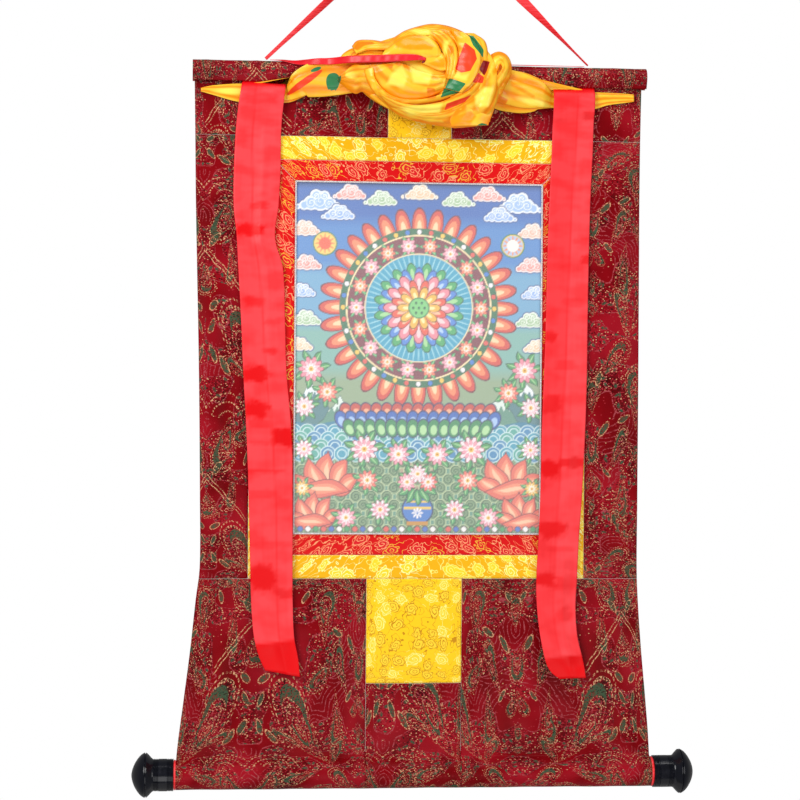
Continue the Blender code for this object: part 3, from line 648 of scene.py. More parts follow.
def paleWood():
    # planed and turned pine: warm and matt, with brown growth lines along the rod
    finish, add, shader = startFinish("turnedPine", "pale_wood", Roughness=0.6)
    grain = add("Mapping", add("TexCoord", output="Object"), Scale=(6.0, 120.0, 120.0))
    lines = add("TexNoise", Vector=grain, Scale=1.0, Detail=4.0, Distortion=0.5)
    feed(shader, Base_Color=layColours(add, "#C79A64", (add("MapRange", lines, 0.4, 0.62), "#8E6236")),
         Normal=add("Bump", Height=lines, Strength=0.2, Distance=0.2 * mm))
    return finish


def silverCord():
    # twisted rayon cord: silver white, a little gloss on every strand
    finish, add, shader = startFinish("silverTwistedCord", "silver_cord", Roughness=0.42, Sheen_Weight=0.3)
    spots = add("TexNoise", Vector=add("TexCoord", output="Object"), Scale=900.0, Detail=2.0)
    feed(shader, Base_Color=layColours(add, "#B9B3B6", (add("MapRange", spots, 0.4, 0.62), "#F4F1F0")))
    return finish


def pictureCloth():
    # print on primed cotton: the colours come from the painted attribute, slightly hazy and matt
    finish, add, shader = startFinish("printedCotton", "picture_cloth", Roughness=0.62,
                                      Specular_IOR_Level=0.35)
    place = flatPlace(add, 1)
    paint = add("Attribute", output="Color", attribute_name="paint")
    haze = add("MapRange", add("TexNoise", Vector=place, Scale=0.9, Detail=2.0), 0.35, 0.75, 0.0, 0.16)
    feed(shader, Base_Color=layColours(add, paint, (haze, "#D8E2E4")))
    weaveBump(add, shader, place, 0.9, 0.05, 0.2)
    return finish


def threadFinish():
    # spun sewing thread, dull red
    finish, add, shader = startFinish("redSewingThread", "red_satin", Roughness=0.55, Sheen_Weight=0.2)
    ply = add("TexNoise", Vector=add("TexCoord", output="Object"), Scale=1400.0, Detail=1.0)
    feed(shader, Base_Color=layColours(add, "#8E1526", (ply, "#D8505E")))
    return finish


# the printed colours of the yellow satin, and its painted highlight and painted shade
printAndPaintedLightColours = {
    # colour and how soft its edge is; lemon is painted highlight where the satin turns to the light, orange
    # and amber are painted shade on the knot's facets
    "paintedHighlightLemon": ("#FFE65A", 0.6), "paintedShadeOrange": ("#FF9C06", 0.4), "paintedShadeAmber": ("#F58308", 0.25),
    "red": ("#F0401A", 0.06), "green": ("#2E7E4C", 0.06),
    "dark": ("#8A060C", 0.1),
}

print("materials")
finishes = {
    "maroon": maroonBrocade(),
    "yellow": cloudBrocade("yellowCloudBrocade", "yellow_brocade",
                           {"ground": "#F2B200", "fill": "#FFE22E", "line": "#FFFBA6", "other": "#FFF27A"},
                           20, 0.75, 0.5, Roughness=0.42, Specular_IOR_Level=0.2),
    "red": cloudBrocade("redCloudBrocade", "red_brocade",
                        {"ground": "#D80004", "fill": "#E0222C", "line": "#F5A070", "other": "#EDB23A"},
                        19, 0.6, 0.40, Roughness=0.45, Specular_IOR_Level=0.2),
    "pale": cloudBrocade("paleYellowBrocade", "pale_yellow_brocade",
                         {"ground": "#FFCB14", "fill": "#FFE04A", "line": "#C98A08", "other": "#FFF28A"},
                         17, 0.4, 0.4, Roughness=0.42, Specular_IOR_Level=0.2),
    # each satin's first colour is its painted light and its second, deep colour its painted shade
    "ribbon": satin("redSatinRibbon", "red_satin", "#FF464C", "#E20008", litBy="lit", patchy=0.55,
                    Roughness=0.44, Specular_IOR_Level=0.18),
    "veil": satin("yellowPrintedSatinWithPaintedLight", "yellow_satin", "#FFC832", "#F98E00", tuple(printAndPaintedLightColours.items()),
                  litBy="lit", patchy=0.75, Roughness=0.30, Specular_IOR_Level=0.35),
    "tie": satin("crimsonTie", "red_satin", "#F01024", "#D40216", Roughness=0.4),
    "cord": satin("redHangingRibbon", "red_satin", "#FF3C46", "#E00A14", onObject=True, Roughness=0.36,
                  Sheen_Weight=0.15, Sheen_Tint="#FFB0B0"),
    "cuff": satin("redSatinCuff", "red_satin", "#FF3038", "#E60812", onObject=True, Roughness=0.4,
                  Sheen_Weight=0.15, Sheen_Tint="#FFB0B0"),
    "lacquer": blackLacquer(),
    "wood": paleWood(),
    "silver": silverCord(),
    "picture": pictureCloth(),
    "thread": threadFinish(),
}

# the flat panels of the hanging cloth

panels = {
    "thickness": 1.2 * mm,          # brocade on its backing
    "seamDip": 0.5 * mm,            # how far the cloth draws back at a seam
    "seamWide": 2.2 * mm,
    "step": 4.2 * mm,               # between the points of a panel's grid
}


def spread(share):
    # closer together towards both ends, where the seams are
    return 0.55 * share + 0.45 * (0.5 - 0.5 * math.cos(math.pi * share))


def seamBack(*distances):
    # how far the cloth lies back this near to its seams
    return sum(panels["seamDip"] * bell(d / panels["seamWide"]) for d in distances)


def edgeAt(edge, z, inset=0.0):
    # a seam with its inset, or the hanging cloth's side at this height
    return edge(z) if callable(edge) else edge + inset


def makePanel(name, left, right, top, bottom, finish, uvStart, sewn):
    inset = scroll["gap"] / 2
    wide = max(edgeAt(right, z) - edgeAt(left, z) for z in (top, (top + bottom) / 2, bottom))

    def place(u, v):
        z = between(top - inset, bottom + inset, spread(v))
        start, end = edgeAt(left, z, inset), edgeAt(right, z, -inset)
        x = between(start, end, spread(u))
        gaps = {"left": x - start, "right": end - x, "top": top - z, "bottom": z - bottom}
        return onCloth(x, drape(x, z) + seamBack(*[gaps[edge] for edge in sewn]), z)

    across, down = (max(4, round(size / panels["step"])) for size in (wide, top - bottom))
    piece = layCloth(name, finish, place, across, down, panels["thickness"], (wide, top - bottom), uvStart)
    return piece


def makeBand(name, side, half, top, bottom, width, finish, uvStart):
    # one mitred band of a frame
    mitre, inset = scroll["gap"] * 0.75, scroll["gap"] / 2
    level = side in ("top", "bottom")
    long = 2 * half if level else top - bottom

    def place(u, v):
        u, v = spread(u), spread(v)
        depth = between(inset, width - inset, v)
        if level:
            reach = half - depth - mitre
            sign = 1 if side == "top" else -1
            x = sign * between(-reach, reach, u)
            z = top - depth if side == "top" else bottom + depth
        else:
            high, low = top - depth - mitre, bottom + depth + mitre
            z = between(high, low, u) if side == "right" else between(low, high, u)
            x = (1 if side == "right" else -1) * (half - depth)
        return onCloth(x, drape(x, z) + seamBack(depth, width - depth), z)

    piece = layCloth(name, finish, place, round(long / panels["step"]), 9, panels["thickness"],
                     (long, width), uvStart)
    return piece


rodSizes = {"radius": 10 * mm, "ends": (-279 * mm, 281 * mm), "tailLayer": 2.4 * mm}
rodAxis = (0.0, scroll["headingTop"] - scroll["cloth"] - scroll["wrapGap"] - rodSizes["radius"])
panelTop = rodAxis[1] - rodSizes["radius"] - scroll["wrapGap"]
rollerSizes = {"radius": 16.2 * mm, "knobFace": 296 * mm, "cuffWall": 1.8 * mm, "hemAllowance": 5 * mm}
rollerAxis = ((scroll["cloth"] + scroll["gap"]) / 2,
              scroll["hemLow"] + scroll["cloth"] + scroll["wrapGap"] + rollerSizes["radius"])


# each panel: its left and right edge, its top and bottom, its finish, where its pattern starts, its seams
flatPanels = {
    "panel_top_left": (leftSide, scroll["upperTab"][0], panelTop, scroll["frameTop"], "maroon", (0.3, 0.1),
                       ("right", "bottom")),
    "panel_top_right": (scroll["upperTab"][1], rightSide, panelTop, scroll["frameTop"], "maroon",
                        (0.05, 0.37),
                        ("left", "bottom")),
    "tab_upper": (*scroll["upperTab"], panelTop, scroll["frameTop"], "pale", (0.4, 0.2),
                  ("left", "right", "bottom")),
    "side_left": (leftSide, -scroll["frameHalf"], scroll["frameTop"], scroll["frameBottom"], "maroon",
                  (0.11, 0.02), ("right", "top", "bottom")),
    "side_right": (scroll["frameHalf"], rightSide, scroll["frameTop"], scroll["frameBottom"], "maroon",
                   (0.48, 0.17), ("left", "top", "bottom")),
    "tab_lower": (*scroll["lowerTab"], scroll["frameBottom"], scroll["tabBottom"], "pale", (0.1, 0.5),
                  ("left", "right", "top", "bottom")),
}


def makePanels():
    for name, (left, right, top, bottom, title, uvStart, sewn) in flatPanels.items():
        makePanel(name, left, right, top, bottom, finishes[title], uvStart, sewn)
    half, top, bottom = scroll["frameHalf"], scroll["frameTop"], scroll["frameBottom"]
    inner = scroll["yellowBand"]
    for order, side in enumerate(("top", "bottom", "left", "right")):
        makeBand("band_yellow_" + side, side, half, top, bottom, inner, finishes["yellow"],
                 (0.13 * order, 0.21 * order))
        makeBand("band_red_" + side, side, half - inner, top - inner, bottom + inner, scroll["redBand"],
                 finishes["red"], (0.17 * order, 0.11 * order + 0.03))


# the cloth that is wrapped round the rods

def wrapPath(start, end, axis, radius, steps, firstTurn):
    # a hem's way from start round a rod to end, in (y, z)
    def tangent(point, turn):
        away = math.hypot(point[0] - axis[0], point[1] - axis[1])
        angle = math.atan2(point[1] - axis[1], point[0] - axis[0])
        return angle + turn * math.acos(radius / away)

    first, last = tangent(start, firstTurn), tangent(end, -firstTurn)
    sweep = (last - first) % (2 * math.pi)
    if firstTurn < 0:
        sweep -= 2 * math.pi
    points = [start]
    for step in range(steps + 1):
        angle = first + sweep * step / steps
        points.append((axis[0] + radius * math.cos(angle), axis[1] + radius * math.sin(angle)))
    points.append(end)
    return points


def pathLength(points):
    return sum(math.dist(a, b) for a, b in zip(points, points[1:]))


def alongPath(points, share):
    # a point at a share of a path's length, and its level side direction
    goal = share * pathLength(points)
    for a, b in zip(points, points[1:]):
        step = math.dist(a, b)
        if goal <= step or b == points[-1]:
            part = min(goal / step, 1.0)
            spot = (between(a[0], b[0], part), between(a[1], b[1], part))
            return spot, ((b[1] - a[1]) / step, -(b[0] - a[0]) / step)
        goal -= step


heading = {
    "thickness": 1.2 * mm,
    "grid": (150, 40),
    # a pucker: its place along the heading, half width and height in mm
    "puckers": ((-262, 5, 0.5), (-236, 9, -0.35), (-201, 4, 0.7), (-150, 8, -0.4), (-90, 10, 0.35),
                (60, 9, -0.4),
                (105, 7, 0.4), (150, 8, -0.35), (198, 4, 0.8), (208, 4, -0.5), (240, 9, 0.4), (268, 5, -0.4)),
}


def makeHeading():
    radius = rodSizes["radius"] + scroll["wrapGap"] + scroll["cloth"] / 2
    back = scroll["cloth"] + scroll["gap"]
    front = -(scroll["cloth"] + scroll["gap"] * 3 + rodSizes["tailLayer"] + 1.2 * mm)
    path = wrapPath((front, scroll["headingSeam"]), (back, scroll["headingSeam"]), rodAxis, radius, 30, -1)
    left, right = rodSizes["ends"]
    length = pathLength(path)
    shares = [step / heading["grid"][1] for step in range(heading["grid"][1] + 1)]
    rows = [alongPath(path, 1 - share) for share in shares]

    def place(u, v):
        x = between(left, right, spread(u))
        (y, z), (sideY, sideZ) = rows[round(v * heading["grid"][1])]
        out = sum(high * bell((x / mm - spot) / wide) for spot, wide, high in heading["puckers"])
        out *= 0.5 * mm * ease((1 - v) / 0.3) if v > 0.5 else 0.35 * mm
        return onCloth(x, y - sideY * out, z - sideZ * out)

    piece = layCloth("heading", finishes["maroon"], place, *heading["grid"], heading["thickness"],
                     (right - left, length), (0.02, 0.62))


skirt = {"thickness": 1.2 * mm, "down": 60, "round": 40, "wave": 0.25 * mm}


def makeSkirt(name, left, right, top, uvStart):
    radius = rollerSizes["radius"] + scroll["wrapGap"] + scroll["cloth"] / 2
    back = scroll["cloth"] + scroll["gap"]
    loop = wrapPath((0.0, scroll["hemStitch"]), (back, scroll["hemStitch"]), rollerAxis, radius, 40, 1)
    loop.append((back + 1.4 * mm, scroll["hemStitch"] + rollerSizes["hemAllowance"]))
    hang, wrapped = top - scroll["hemStitch"], pathLength(loop)
    down = max(12, round(skirt["down"] * hang / 0.22))
    inset = scroll["gap"] / 2
    rows = [("hang", share / down) for share in range(down)]
    rows += [("wrap", alongPath(loop, share / skirt["round"])) for share in range(skirt["round"] + 1)]
    wide = edgeAt(right, scroll["hemLow"]) - edgeAt(left, scroll["hemLow"])

    def place(u, v):
        sort, row = rows[round(v * (len(rows) - 1))]
        z = between(top - inset, scroll["hemStitch"], spread(row)) if sort == "hang" else row[0][1]
        start, end = edgeAt(left, z, inset), edgeAt(right, z, -inset)
        x = between(start, end, spread(u))
        if sort == "hang":
            gaps = [top - z]
            gaps += [] if callable(left) else [x - start]
            gaps += [] if callable(right) else [end - x]
            # the row of stitches draws the cloth back a little
            pull = 0.5 * mm * bell((z - scroll["hemStitch"]) / (2.5 * mm))
            return onCloth(x, drape(x, z) + seamBack(*gaps) + pull, z)
        (y, z), (sideY, sideZ) = row
        wave = skirt["wave"] * math.sin(x / (13 * mm)) * math.sin(x / (31 * mm) + 1.0)
        return onCloth(x, y - sideY * wave, z - sideZ * wave)

    length = hang + wrapped
    piece = layCloth(name, finishes["maroon"], place, max(24, round(wide / panels["step"])), len(rows) - 1,
                     skirt["thickness"], (wide, length), (uvStart, -wrapped))


# satin ribbons and ties

ribbons = {
    "thickness": 0.7 * mm,
    "across": 24, "down": 260,
    "creaseAt": 0.64, "creaseWide": 0.16,
    # painted shade: the lower end, where the ribbon bends away, lies in clear dark red
    "endShade": {"left": 34, "right": 27},          # mm at the lower end that lie in clear dark red
    # share across of the long fold at the top and bottom, and how much painted shade lies left and right of
    # it
    "longFold": {"left": (0.34, 0.62, 0.10, 0.0), "right": (0.60, 0.44, 0.30, 0.0)},
    "left": (
        (-217.2, -218.2, -165.2, 3.5, 0, 0), (-219.8, -218.7, -165.3, 3.5, 0, 0),
        (-222.4, -219.2, -165.6, 5.2, 0, 0), (-227.4, -219.9, -166.1, 10.2, 0, 0.3),
        (-237, -221.4, -167.4, 12.6, 0, 0.8), (-251, -223.4, -168.8, 11, 0, 1),
        (-268, -225.2, -170.3, 6.6, 0, 1.2), (-286, -226.6, -171.1, 5, 0, 1.4),
        (-329, -228.2, -171.4, 4.6, 0, 1.8), (-371, -228.2, -173.5, 5.6, 0, 2.6),
        (-410, -224.2, -177.5, 6.8, 0, 3.4), (-448, -221.9, -167.5, 5.8, 0, 2.2),
        (-511, -218.1, -164.5, 4.6, 0, 1.2), (-572, -215.2, -162.4, 4.8, 0, 1.4),
        (-653, -210.3, -155.3, 6.8, 0, 1.6), (-731, -207.2, -153.7, 7.4, 0, 1.2),
        (-804, -205, -153.1, 7.2, 0, 1.4), (-853, -203.4, -152.7, 7.6, 0, 2),
        (-896, -199.8, -150.7, 9, 1, 2.4), (-921, -193.4, -145.6, 11.5, 3, 1.8),
        (-938, -185.7, -143.6, 14, 7, 0.6),
    ),
    "right": (
        (-217.2, 164.4, 216, 3.5, 0, 0), (-219.8, 164.3, 215.9, 3.5, 0, 0),
        (-222.4, 164.3, 215.8, 5.2, 0, 0), (-227.4, 164.2, 215.7, 10.2, 0, 0.3),
        (-237, 164, 215.5, 12.6, 0, 0.8), (-251, 163.8, 215.2, 11, 0, 1),
        (-268, 163.6, 214.8, 6.6, 0, 1.2), (-297, 163.1, 214.4, 5, 0, 1.4),
        (-359, 160.7, 211.9, 4.6, 0, 1.2), (-421, 158.6, 210.5, 5, 0, 1.4),
        (-520, 156.9, 209.4, 4.6, 0, 1), (-569, 155.4, 209.1, 5.6, 0, 1.4),
        (-643, 152.8, 207.2, 7, 0, 1.8), (-729, 151.4, 203.3, 7.2, 0, 1.2),
        (-779, 149.5, 200.1, 7.2, 0, 1.4), (-828, 147.4, 198.3, 7, 0, 2),
        (-860, 148.3, 196.7, 7.6, 0, 2.4), (-897, 152.3, 198.9, 9.6, 0, 2),
        (-930, 159.5, 207, 12.5, 2, 1.2), (-943, 167.5, 208.6, 14.3, 0, 0.8),
        (-949.5, 177, 209.4, 15, -1, 0.4),
    ),
    # soft dents across a ribbon: height, share across, half height, half width, depth and slope in mm
    "leftDents": (
        (-262, 0.3, 9, 0.3, 1.2, 4), (-318, 0.75, 14, 0.35, -1, 6), (-358, 0.45, 8, 0.4, 1.6, 10),
        (-392, 0.6, 6, 0.3, -1.4, -12), (-420, 0.4, 7, 0.35, 1.5, 14), (-470, 0.25, 16, 0.3, -0.9, 5),
        (-536, 0.6, 12, 0.4, 1, -8), (-600, 0.35, 18, 0.35, -1, 8), (-668, 0.6, 13, 0.4, 1.1, 10),
        (-742, 0.3, 16, 0.35, -1, -6), (-800, 0.7, 12, 0.35, 1.1, 8), (-862, 0.35, 14, 0.4, -1, 12),
        (-905, 0.55, 8, 0.6, 1.4, 10),
    ),
    "rightDents": (
        (-270, 0.6, 9, 0.35, 1.1, -5), (-330, 0.3, 14, 0.35, -1, 6), (-386, 0.6, 10, 0.4, 1.1, 8),
        (-452, 0.35, 16, 0.35, -0.9, -6), (-515, 0.65, 12, 0.35, 1.1, 9), (-590, 0.35, 15, 0.4, -1, 8),
        (-660, 0.6, 12, 0.35, 1.1, -9), (-735, 0.4, 16, 0.35, -0.9, 7), (-806, 0.55, 12, 0.4, 1.1, 10),
        (-868, 0.4, 10, 0.5, -1.2, -10), (-912, 0.55, 9, 0.6, 1.4, -12),
    ),
    # bars of painted shade where the satin dips: height, share across, half height, half width, how dark
    "leftBars": (
        (-242, 0.45, 6, 0.35, 0.4), (-371.6, 0.58, 4.5, 0.2, 0.7), (-401.7, 0.33, 8, 0.36, 1),
        (-488.7, 0.3, 5.5, 0.24, 0.7), (-512.6, 0.76, 4, 0.2, 0.4), (-548.4, 0.68, 4, 0.17, 0.7),
        (-577, 0.27, 9, 0.34, 1), (-621, 0.2, 10, 0.32, 1), (-653.6, 0.82, 11, 0.27, 1),
        (-638, 0.3, 5, 0.22, 0.5), (-660, 0.3, 3, 0.22, 0.4), (-695.4, 0.36, 2.4, 0.42, 0.6),
        (-723, 0.3, 5, 0.3, 0.4), (-735, 0.8, 6, 0.22, 0.4), (-785, 0.5, 5, 0.45, 0.35),
        (-826, 0.27, 15, 0.32, 1), (-844, 0.82, 6, 0.24, 0.7)),
    "rightBars": (
        (-232, 0.3, 14, 0.5, 0.4), (-254.5, 0.9, 5, 0.16, 0.6), (-432, 0.96, 6, 0.14, 0.8),
        (-410, 0.8, 4, 0.17, 0.4), (-442, 0.4, 5, 0.45, 0.3), (-485, 0.7, 5, 0.28, 0.3),
        (-528, 0.1, 7, 0.17, 0.8), (-563, 0.5, 6, 0.24, 0.4), (-611, 0.18, 11, 0.22, 0.7),
        (-683.6, 0.7, 6, 0.36, 0.8), (-691, 0.16, 10, 0.24, 1), (-766, 0.3, 9, 0.36, 0.9),
        (-790, 0.6, 3, 0.32, 0.4), (-828, 0.18, 7, 0.27, 0.9), (-831, 0.76, 9, 0.3, 0.5),
        (-871, 0.66, 8, 0.22, 0.5)),
}
ribbonColumns = ("z", "left", "right", "out", "drop", "crease")


def makeRibbon(side):
    name, rows, dents, shadeBars = "ribbon_" + side, ribbons[side], ribbons[side + "Dents"], ribbons[side + "Bars"]
    top, bottom = rows[0][0], rows[-1][0]
    stations = {}

    def place(u, v):
        # the stations are close together near the top, where the ribbon bends out over the veil
        if v not in stations:
            z = between(top, bottom, v ** 1.25)
            stations[v] = z, readTable(rows, ribbonColumns, z)
        z, edge = stations[v]
        x = between(edge["left"], edge["right"], u)
        crease = edge["crease"] * (bell((u - ribbons["creaseAt"]) / ribbons["creaseWide"]) - 0.5 * u)
        crease += 0.5 * ease((top - z) / 60) * bell((u - ribbons["creaseAt"]) / 0.035)
        free = ease((top - z - 12) / 40)
        for spot, middle, high, wide, depth, slope in dents:
            away = (z - spot - slope * (u - 0.5)) / high
            if abs(away) < 3:
                crease += free * depth * 0.8 * math.exp(-away * away - ((u - middle) / wide) ** 2)
        y = drape(x * mm, z * mm) - scroll["cloth"] / 2 - (edge["out"] + crease) * mm
        return onCloth(x * mm, y, (z - edge["drop"] * u) * mm)

    def lightAt(spot):
        # painted light with painted shade: darker and clearer red at both ends, left of the long fold and in
        # the bars
        z, x = spot.z / mm, (spot.x - scroll["middle"]) / mm
        edge = readTable(rows, ribbonColumns, min(max(z, bottom), top))
        u = (x - edge["left"]) / (edge["right"] - edge["left"])
        slant = x - (rows[-1][1] + rows[-1][2]) / 2
        light = ease((z - bottom - ribbons["endShade"][side] - 0.12 * slant) / 4) * ease((top - z - 3) / 14)
        high, low, before, after = ribbons["longFold"][side]
        fold = between(high, low, min(max((top - z) / (top - bottom) * 1.4, 0), 1))
        light *= 1 - between(before, after, ease((u - fold) / 0.05 + 0.5))
        light *= 1 - 0.45 * bell((u - fold) / 0.022)
        for middleZ, middle, tall, wide, strength in shadeBars:
            ragged = 0.45 * noise.noise(Vector((x * 0.09, z * 0.16, 0)))
            ragged += 0.2 * noise.noise(Vector((x * 0.3, z * 0.5, 5)))
            away = (abs((z - middleZ) / tall) ** 3 + abs((u - middle) / wide) ** 3) ** (1 / 3) + ragged
            light *= 1 - strength * ease(1.5 * (1.4 - away))
        return light

    wide = max(row[2] - row[1] for row in rows) * mm
    piece = layCloth(name, finishes["ribbon"], place, ribbons["across"], ribbons["down"],
                     ribbons["thickness"],
                     (wide, (top - bottom) * mm))
    level = piece.data.attributes.new("lit", "FLOAT", "POINT")
    level.data.foreach_set("value", [lightAt(vert.co) for vert in piece.data.vertices])


tieColumns = ("x", "y", "z", "half", "turn")
ties = {
    "thickness": 0.6 * mm,
    "veil_tie": (
        (-185, -2.4, -192.75, 1.6, 84), (-170, -5.8, -193.7, 2.4, 64), (-155, -11.4, -196.6, 3.2, 40),
        (-141, -21, -197.6, 3.6, 18), (-128, -27.4, -197.4, 3.9, 10), (-112, -28.4, -197, 4.2, 6),
        (-92, -45.4, -197.2, 4.4, 4), (-72, -52, -197, 4.4, 2), (-50, -55.6, -196.6, 4.4, 0),
        (-28, -59.3, -195.8, 4.2, 0), (-10, -59.2, -195.2, 3.4, 0), (1, -56, -196.5, 1.6, 0),
    ),
    "rod_ribbon": (
        (66, -2.6, -192.75, 4, 78), (110, -2.6, -192.75, 4, 78), (160, -2.4, -192.75, 4, 79),
        (203, -1.8, -192.65, 2.6, 82),
    ),
}


def makeTie(name):
    rows = ties[name]
    start, end = rows[0][0], rows[-1][0]
    length = pathLength([row[:3] for row in rows]) * mm

    def place(u, v):
        x = between(start, end, u)
        at = readTable(rows, tieColumns, x)
        offset = between(at["half"], -at["half"], v)
        turn = math.radians(at["turn"])
        curl = 0.25 * math.sin(x * 0.55) * math.sin(v * math.pi) * (1 - at["turn"] / 90)
        y = at["y"] + offset * math.sin(turn) - curl
        return Vector((x + scroll["middle"] / mm, y, at["z"] + offset * math.cos(turn))) * mm

    piece = layCloth(name, finishes["tie"], place, round((end - start) / 1.6), 6, ties["thickness"],
                     (length, 0.01))


hangCord = {
    "anchor": (199.4 * mm, -191.3 * mm),
    "half": 6.0 * mm, "thick": 0.6 * mm,
    "points": 12,                   # on each leg
    "bend": (7 * mm, -3.4 * mm),
    # side, share of the width at the heading, twist there and in the middle of the leg
    "legs": ((-1, 0.36, 20, 52), (1, 0.36, 78, 4)),
}


def makeHangCord():
    # a flat ribbon that is held taut over the nail
    anchorX, anchorZ = hangCord["anchor"]
    bendX = hangCord["bend"][0] * anchorX / math.hypot(anchorX, anchorZ)
    legs = []
    for side, lowShare, lowTwist, middleTwist in hangCord["legs"]:
        run = []
        for step in range(hangCord["points"]):
            share = step / hangCord["points"]
            twist = between(between(lowTwist, middleTwist, ease(share / 0.6)), 90,
                            ease((share - 0.72) / 0.25))
            spot = (side * anchorX * (1 - share), 0, anchorZ * (1 - share) + hangCord["thick"] * share ** 0.6)
            run.append((spot, between(lowShare, 1.0, ease(share / 0.5)), twist))
        run.append(((side * bendX, 0, hangCord["bend"][1]), 1.0, 90))
        legs.append(run)
    route = legs[0] + [((0, 0, hangCord["thick"]), 1.0, 90)] + legs[1][::-1]
    data = newCurve("hang_cord", hangCord["thick"], 2, extrude=hangCord["half"] - hangCord["thick"],
                    use_fill_caps=True, twist_mode="MINIMUM")
    addLine(data, route)
    data.materials.append(finishes["cord"]["material"])
    piece = inScene("hang_cord", data)
    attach(piece, "root")
    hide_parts("hang_cord")
    length = pathLength([spot for spot, share, twist in route])
    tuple(route[0][0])


# the knotted veil

veil = {
    "round": 72, "step": 2.4,       # points round a roll, and millimetres between its rings
    "foldRound": 56, "foldStep": 1.8,
    "crumple": 1.3,                 # mm, unevenness of the gathered satin
    "flatWide": 0.55,               # as wide as the hanging cloth
}
foldEdges = ("at", "x1", "z1", "x2", "z2")
rollColumns = ("at", "x", "y", "z", "half", "thick", "turn")
# each roll of gathered satin: its pleats, how deep they are, how they wind, and its sections
veilRolls = {
    "left tail": (5, 0.16, 0.3, (
        (-269, -2.7, -231, 2.4, 1.3, 0), (-252, -2.8, -231.5, 6, 1.4, 0),
        (-222, -3.2, -233.8, 10.6, 1.6, 0),
        (-191, -3.4, -234.6, 10.8, 1.7, 0), (-171, -3.8, -234.6, 10, 1.8, 0),
        (-162, -4.8, -234, 10.2, 2, 0),
        (-153, -12.6, -229, 13, 2.8, 6), (-146, -15.6, -224, 17.5, 3.4, 14),
        (-130, -18.2, -218.5, 20.5, 4.2, 12),
        (-111, -20, -215, 21, 5.2, 8), (-93, -22, -211, 22, 6.4, 4), (-77, -24, -205, 26, 8, 0),
        (-50, -27, -204, 29, 11, 0))),
    "right tail": (7, 0.22, 0.2, (
        (86, -27, -222, 20, 10, 0), (98, -22, -225, 23, 7, 8), (111, -20, -227, 23.6, 6, 12),
        (127, -18, -229.5, 23, 5, 12), (144, -15.4, -231.4, 19, 3.8, 10),
        (152, -12.4, -233.2, 14.6, 2.9, 4),
        (161, -5, -234.6, 11, 2, 0), (170.5, -3.8, -235, 10.2, 1.8, 0), (189, -3.4, -235, 10.4, 1.7, 0),
        (214, -3.2, -235, 9.8, 1.6, 0), (231, -3, -232.6, 7.4, 1.6, 0), (251, -2.8, -231.2, 5.8, 1.4, 0),
        (266, -2.7, -230.6, 4.6, 1.3, 0))),
    "core": (6, 0.1, 0.5, (
        (-62, -27, -206, 16, 8, 0), (-30, -31, -208, 34, 14, 0), (10, -33, -210, 42, 17, 0),
        (50, -32, -217, 44, 15, 0), (86, -29, -216, 30, 9, 0))),
    "crown": (7, 0.14, 0.6, (
        (-79, -24, -192, 10, 6, 0), (-60, -28, -186, 11, 9, 0), (-37, -31, -187, 12, 12, 0),
        (-12, -33, -177, 16, 14, 0), (20, -34, -171, 18, 15, 0), (46, -34, -182, 19, 14, 0),
        (62, -33, -200, 18, 12, 0))),
    "outer wrap": (5, 0.12, 0.5, (
        (58, -36, -180, 13, 9, 0), (72, -39, -200, 15, 10, 0), (76, -40, -222, 16, 10, 0),
        (74, -38, -244, 14, 9, 0), (68, -34, -258, 11, 7, 0))),
    "lower sash": (5, 0.12, 0.4, (
        (-73, -25, -216, 11, 7, 0), (-58, -28, -233, 10, 8, 0), (-34, -31, -247, 10, 9, 0),
        (0, -33, -258, 10, 9, 0), (36, -33, -264, 9.5, 8, 0), (66, -31, -263, 8, 6, 0),
        (82, -28, -261, 6, 4, 0))),
}
